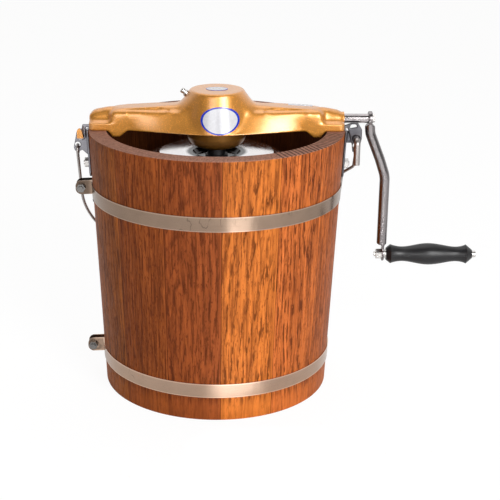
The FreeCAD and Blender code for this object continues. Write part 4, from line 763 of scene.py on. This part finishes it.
class FREEZER_OT_stage(bpy.types.Operator):
    """Floor, light and the camera at the photograph's view"""
    bl_idname = "freezer.stage"
    bl_label = "Stage"

    def execute(self, context):
        scene = context.scene
        scene.view_settings.view_transform = "Standard"
        bpy.ops.object.select_all(action="DESELECT")
        bpy.ops.mesh.primitive_plane_add(size=FLOOR_SIZE, location=(0, 0, 0))
        floor = context.object
        floor.name = "floor"
        floor.data.materials.append(floor_finish())
        world_light()
        for name, place, width, height, power in LAMPS:
            lamp = soft_lamp(name, place, width, height, power)
            toward = Vector(TUB_MIDDLE) - Vector(place)
            lamp.rotation_euler = toward.to_track_quat("-Z", "Y").to_euler()
        for name, right, front, width, depth, power, spread in FLOOR_LAMPS:
            lamp = soft_lamp(name, (right, -front, FLOOR_LAMP_HEIGHT), width, depth, power)
            lamp.data.spread = math.radians(spread)
        camera = bpy.data.cameras.new("photo_camera")
        camera.lens = sizes().lens
        camera.sensor_width = 36.0
        camera.shift_x = sizes().camera_shift
        camera.clip_end = 50.0
        view = bpy.data.objects.new("photo_camera", camera)
        scene.collection.objects.link(view)
        tilt = Matrix.Rotation(math.pi / 2 - sizes().camera_pitch, 4, "X")
        lean = Matrix.Rotation(sizes().camera_roll, 4, "Z")
        place = Matrix.Translation((0.0, -sizes().camera_distance, sizes().camera_height))
        view.matrix_world = place @ tilt @ lean
        scene.camera = view
        return {"FINISHED"}


# Tub

class FREEZER_OT_tub(bpy.types.Operator):
    """Oak staves and bottom of the tub"""
    bl_idname = "freezer.tub"
    bl_label = "Tub"

    def execute(self, context):
        for number, name in enumerate(STAVES, 1):
            turn = FIRST_JOINT + 360 / len(STAVES) * (number - 0.5)
            paint(name, oak(number, math.radians(turn - 180)))
        paint("tub_bottom", oak(len(STAVES) + 1, 0.0))
        return {"FINISHED"}


# Castings

# Fillet between hub and arms: half width, half depth and height above the rim, in millimetres
HUB_FILLET = (
    (58.5, 30.0, 23.0), (56.0, 30.5, 24.5), (49.5, 31.5, 29.0), (44.5, 33.0, 33.5), (40.5, 34.0, 38.0),
    (37.0, 34.5, 43.0), (33.0, 33.4, 47.0),
)
# Inside of the hub that the fillet leaves free: radius and height above the rim, in millimetres
HUB_CORE = ((39.0, 18.0), (30.4, 53.0))
# Round end of an arm over the latch: half height, half depth and distance from the hub's axis, in millimetres
NOSE_CAP = (
    (14.0, 13.0, 114.0), (14.4, 13.0, 130.0), (13.7, 12.6, 137.0), (11.9, 12.0, 144.0), (9.0, 10.8, 150.0),
    (5.0, 8.5, 154.0), (1.5, 5.0, 156.0),
)
# Lower end of that cap above the shaft's axis
CAP_FLOOR = 9 * MM
# Sloping cut at an arm's upper corner: from the hub's axis and above the shaft's axis
CORNER_REACH, CORNER_ABOVE = 149 * MM, 11.8 * MM
# Skin of the nose: where it starts and is full along the arm, its lower end above the rim, the shaft's bore
NOSE_START, NOSE_FULL = 110 * MM, 118 * MM
NOSE_FLOOR, NOSE_BORE = 9 * MM, 9.8 * MM
NOSE_WEIGHT = 0.8
# Skin of an arm's sides: where it starts and is full, its heights above the rim and the rib's half depth
ARM_START, ARM_FULL = 58 * MM, 70 * MM
ARM_FLOOR, ARM_TOP = 7 * MM, 25.4 * MM
ARM_DEPTH = 15.3 * MM
# Skin of the hub: radius at the rim and slope of its cone, depth of the skin, and the channel under the arms
HUB_FOOT, HUB_SLOPE, HUB_SKIN = 46 * MM, 12.0 / 48.6, 3 * MM
CHANNEL_DEPTH, CHANNEL_TOP = 15.8 * MM, 22 * MM
# Skin of the hub: where it starts, is full, starts to fade and ends sideways, above the rim and below the top
HUB_ASIDE = (16 * MM, 30 * MM, 58 * MM, 74 * MM)
HUB_ABOVE, HUB_BELOW = (2 * MM, 8 * MM), (9 * MM, 4 * MM)
# Cells in which castings and plates are made smooth, and the angle up to which their edges are shaded soft
CASTING_CELL, PLATE_CELL = 0.95 * MM, 0.6 * MM
SOFT_ANGLE = 60.0
# How often castings, the frame's skin, plates and the crank's forging are smoothed
CASTING_PASSES, SKIN_PASSES, PLATE_PASSES, FORGING_PASSES = 4, 150, 10, 14


def hub_fillet():
    """The fillet round the hub, with the hub's inside left free."""
    piece = lofted("hub_fillet", [(x * MM, y * MM, RIM + z * MM) for x, y, z in HUB_FILLET])
    core = lofted("hub_core", [(r * MM, r * MM, RIM + z * MM) for r, z in HUB_CORE])
    change(piece, "BOOLEAN", object=core, operation="DIFFERENCE", solver="EXACT")
    bpy.data.objects.remove(core)
    return piece


def cut_off(piece, point, normal):
    """Take off what lies on the normal's side of a plane, and close the cut."""
    pick(piece)
    bpy.ops.object.mode_set(mode="EDIT")
    bpy.ops.mesh.select_all(action="SELECT")
    bpy.ops.mesh.bisect(plane_co=point, plane_no=normal, use_fill=True, clear_outer=True)
    bpy.ops.object.mode_set(mode="OBJECT")


def nose_cap(name, side):
    """Upper half of the round end that carries an arm's rib down over its nose."""
    piece = lofted(name, [(z * MM, y * MM, x * MM) for z, y, x in NOSE_CAP])
    aim(piece, (0, 0, SHAFT_Z), (side, 0, 0))
    cut_off(piece, (0, 0, SHAFT_Z + CAP_FLOOR), (0, 0, -1))
    return piece


def frame_skin(place):
    """How far a point of the gear frame belongs to its outer skin beside the hub or round the nose."""
    reach = abs(place.x)
    depth = abs(place.y)
    above = place.z - RIM
    if reach > NOSE_START:
        on_nose = math.hypot(depth, place.z - SHAFT_Z) > NOSE_BORE and above > NOSE_FLOOR
        return NOSE_WEIGHT * step(reach, NOSE_START, NOSE_FULL) if on_nose else 0.0
    if reach > ARM_START and depth > ARM_DEPTH and ARM_FLOOR < above < ARM_TOP:
        return step(reach, ARM_START, ARM_FULL)
    cone = HUB_FOOT - above * HUB_SLOPE
    outside = math.hypot(reach, depth) > cone - HUB_SKIN and (depth > CHANNEL_DEPTH or above > CHANNEL_TOP)
    if not outside or above < HUB_ABOVE[0]:
        return 0.0
    near = step(reach, *HUB_ASIDE[:2]) * (1 - step(reach, *HUB_ASIDE[2:]))
    under_top = 1 - step(place.z, HUB_TOP - HUB_BELOW[0], HUB_TOP - HUB_BELOW[1])
    return near * under_top * step(above, *HUB_ABOVE)


class FREEZER_OT_castings(bpy.types.Operator):
    """Gold gear frame, its cover and the thumb tab"""
    bl_idname = "freezer.castings"
    bl_label = "Castings"

    def execute(self, context):
        gold = gold_paint()
        cast = cad_copy("gear_frame", "cast_frame")
        fillings = [hub_fillet()]
        for name, side in (("right_cap", 1), ("left_cap", -1)):
            cut_off(cast, (side * CORNER_REACH, 0, SHAFT_Z + CORNER_ABOVE), (side, 0, 1))
            fillings.append(nose_cap(name, side))
        join_pieces(cast, fillings)
        soft_cast(cast, CASTING_CELL, CASTING_PASSES)
        weigh(cast, "blend", frame_skin)
        change(cast, "SMOOTH", factor=0.5, iterations=SKIN_PASSES, vertex_group="blend")
        finish_piece(cast, "frame", gold, ["gear_frame"], SOFT_ANGLE)
        paint("left_latch_tab", gold)
        paint("outer_bush", gold)
        # Painted shade: the cover's bowl faces down and is given the gold darkened to 0.3, with less coat
        paint("gear_cover", gold_paint("gold_paint_cover", shade=0.3, coat=0.2))
        return {"FINISHED"}


# Labels

# Blank ovals: CAD node, piece, width of the border and whether it stands on the hub's front
OVALS = (("front_label", "hub_label", 0.12, True), ("top_label", "crown_label", 0.07, False))
# Where an oval starts before it is laid on the casting: in front of the axis or above the hub's top
OVAL_FRONT, OVAL_ABOVE = 70 * MM, 9 * MM
LABEL_GAP, LABEL_THICKNESS = 0.12 * MM, 0.25 * MM
OVAL_SIDES, OVAL_CUTS = 96, 9


def oval_label(node, name, border, upright):
    """A thin blank oval laid on the casting, from the front or from above."""
    low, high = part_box(node)
    middle = (low + high) / 2
    size = high - low
    centre = (middle.x, middle.z) if upright else (middle.x, middle.y)
    height = size.z if upright else size.y
    place = (middle.x, -OVAL_FRONT, middle.z) if upright else (middle.x, middle.y, HUB_TOP + OVAL_ABOVE)
    turn = (math.pi / 2, 0, 0) if upright else (0, 0, 0)
    material = blank_label(node, centre, size.x / 2, height / 2, border, upright)
    bpy.ops.object.select_all(action="DESELECT")
    bpy.ops.mesh.primitive_circle_add(vertices=OVAL_SIDES, radius=0.5, fill_type="TRIFAN", location=place,
                                      rotation=turn)
    piece = bpy.context.object
    piece.name = name
    piece.scale = (size.x, height, 1)
    pick(piece)
    bpy.ops.object.transform_apply(location=True, rotation=True, scale=True)
    bpy.ops.object.mode_set(mode="EDIT")
    bpy.ops.mesh.select_all(action="SELECT")
    bpy.ops.mesh.subdivide(number_cuts=OVAL_CUTS)
    bpy.ops.object.mode_set(mode="OBJECT")
    change(piece, "SHRINKWRAP", target=bpy.data.objects["cast_frame"], wrap_method="PROJECT",
           use_project_x=False, use_project_y=upright, use_project_z=not upright,
           use_negative_direction=True, use_positive_direction=True, offset=LABEL_GAP)
    change(piece, "SOLIDIFY", thickness=LABEL_THICKNESS, offset=1.0)
    finish_piece(piece, "frame", material, [node])


class FREEZER_OT_labels(bpy.types.Operator):
    """Blank labels on the casting"""
    bl_idname = "freezer.labels"
    bl_label = "Labels"

    def execute(self, context):
        for node, name, border, upright in OVALS:
            oval_label(node, name, border, upright)
        # The strip on the arm has no border: its oval is far larger than the strip
        low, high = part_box("arm_label")
        middle = (low + high) / 2
        paint("arm_label", blank_label("arm_label", (middle.x, middle.y), 1.0, 1.0, 0.0, False))
        return {"FINISHED"}


# Metalwork

# Bands: CAD node, shade, lower and upper edge from the rim in millimetres
# The bands are one steel: the upper band's shade of 0.7 is painted shade and the lower band's 1.1 is painted
# light
BANDS = (("upper_band", 0.7, -84.6, -66.6), ("lower_band", 1.1, -299.1, -281.1))
# Worn metals: colour, shade, roughness, scratches and grime
METALS = {
    "zinc_plate": ("zinc", 1.0, 0.3, (700, 700, 700), 0.25),
    "aged_zinc": ("zinc", 0.42, 0.32, (700, 700, 700), 0.5),
    "galvanised_steel": ("galvanised", 1.0, 0.3, (500, 500, 500), 0.4),
    "dark_steel": ("galvanised", 0.45, 0.32, (500, 500, 500), 0.4),
    "crank_steel": ("crank", 1.0, 0.2, (30, 700, 700), 0.3),
    "crank_rod": ("crank", 0.66, 0.24, (500, 500, 60), 0.35),
    "wire_steel": ("wire", 1.0, 0.3, (300, 300, 300), 0.35),
    "bush_bronze": ("bronze", 1.0, 0.35, ROLLED, 0.25),
    "gear_iron": ("iron", 1.0, 0.45, ROLLED, 0.4),
    "can_tin": ("lid", 0.85, 0.4, (60, 60, 900), 0.15),
}
# CAD nodes that keep their shape, by metal
METAL_NODES = {
    "zinc_plate": ("ear_bolts", "ear_nuts", "crank_bolt", "crank_washer", "grip_bolt", "grip_nut",
                   "grip_washer", "pinion_pin"),
    "aged_zinc": ("band_bolts", "band_nuts"),
    "galvanised_steel": ("pivot_cup", "dasher"),
    "wire_steel": ("bail", "right_latch_pin", "left_latch_pin"),
    "crank_steel": ("crank_shaft",),
    "bush_bronze": ("inner_bush", "gear_bush"),
    "gear_iron": ("bevel_pinion", "bevel_gear", "lid_hub", "band_keeper"),
    "can_tin": ("can", "can_pivot"),
}
# Bent plates that are made smooth: CAD node, body and metal
PLATES = (
    ("left_ear", "tub", "galvanised_steel"), ("right_ear", "tub", "dark_steel"),
    ("left_lug", "frame", "galvanised_steel"), ("right_lug", "frame", "dark_steel"),
)


class FREEZER_OT_metalwork(bpy.types.Operator):
    """Bands, brackets, fasteners, crank and can with its scrapers"""
    bl_idname = "freezer.metalwork"
    bl_label = "Metalwork"

    def execute(self, context):
        for name, shade, low, high in BANDS:
            # Painted shade on the upper band and painted light on the lower one, through their shades
            rgb = shaded(colours().band, shade)
            paint(name, band_steel(name + "_steel", rgb, RIM + low * MM, RIM + high * MM))
        metals = {}
        for name, (colour, shade, roughness, scratch, grime) in METALS.items():
            rgb = shaded(getattr(colours(), colour), shade)
            metals[name] = worn_metal(name, rgb, roughness, scratch, grime)
        for name, nodes in METAL_NODES.items():
            for node in nodes:
                paint(node, metals[name])
        paint("can_lid", spun_steel())
        for node, body, metal in PLATES:
            plate = cad_copy(node, node + "_plate")
            soft_cast(plate, PLATE_CELL, PLATE_PASSES)
            finish_piece(plate, body, metals[metal], [node], SOFT_ANGLE)
        forging = cad_copy("crank_arm", "crank_forging")
        soft_cast(forging, PLATE_CELL, FORGING_PASSES)
        finish_piece(forging, "crank", metals["crank_rod"], ["crank_arm"], SOFT_ANGLE)
        for number, name in enumerate(("left_scraper", "right_scraper")):
            paint(name, oak(len(STAVES) + 2 + number, 0.0))
        return {"FINISHED"}


# Trim

# Grease fitting: radius and height along its axis, in millimetres
FITTING = (
    (3.0, -2.0), (3.0, 2.4), (4.0, 2.5), (4.2, 3.0), (4.2, 5.4), (3.7, 5.9), (3.1, 6.1), (3.0, 8.4),
    (3.4, 8.8), (3.4, 10.4), (2.8, 11.3), (1.6, 11.7),
)
FITTING_PLACE = (-34.5 * MM, 0, RIM + 40.6 * MM)
FITTING_AXIS = (-0.77, 0, 0.64)


class FREEZER_OT_trim(bpy.types.Operator):
    """Grip and grease fitting"""
    bl_idname = "freezer.trim"
    bl_label = "Trim"

    def execute(self, context):
        paint("grip", grip_black())
        fitting = turned("fitting", FITTING)
        aim(fitting, FITTING_PLACE, FITTING_AXIS)
        zinc = bpy.data.materials["zinc_plate"]
        finish_piece(fitting, "frame", zinc, ["grease_fitting"])
        return {"FINISHED"}


# Panel and registration

class FREEZER_PT_panel(bpy.types.Panel):
    """Lists the steps in the sidebar"""
    bl_idname = "FREEZER_PT_panel"
    bl_label = "Ice cream freezer"
    bl_space_type = "VIEW_3D"
    bl_region_type = "UI"
    bl_category = "Freezer"

    def draw(self, context):
        for operator in OPERATORS:
            self.layout.operator(operator.bl_idname)


OPERATORS = (FREEZER_OT_stage, FREEZER_OT_tub, FREEZER_OT_castings, FREEZER_OT_labels,
             FREEZER_OT_metalwork, FREEZER_OT_trim)
CLASSES = (FreezerSizes, FreezerColours) + OPERATORS + (FREEZER_PT_panel,)


def register():
    for cls in CLASSES:
        bpy.utils.register_class(cls)
    bpy.types.Scene.freezer_sizes = bpy.props.PointerProperty(type=FreezerSizes)
    bpy.types.Scene.freezer_colours = bpy.props.PointerProperty(type=FreezerColours)


def unregister():
    del bpy.types.Scene.freezer_colours
    del bpy.types.Scene.freezer_sizes
    for cls in reversed(CLASSES):
        bpy.utils.unregister_class(cls)


def main():
    register()
    bpy.ops.freezer.stage()
    bpy.ops.freezer.tub()
    bpy.ops.freezer.castings()
    bpy.ops.freezer.labels()
    bpy.ops.freezer.metalwork()
    bpy.ops.freezer.trim()


if __name__ == "__main__":
    main()
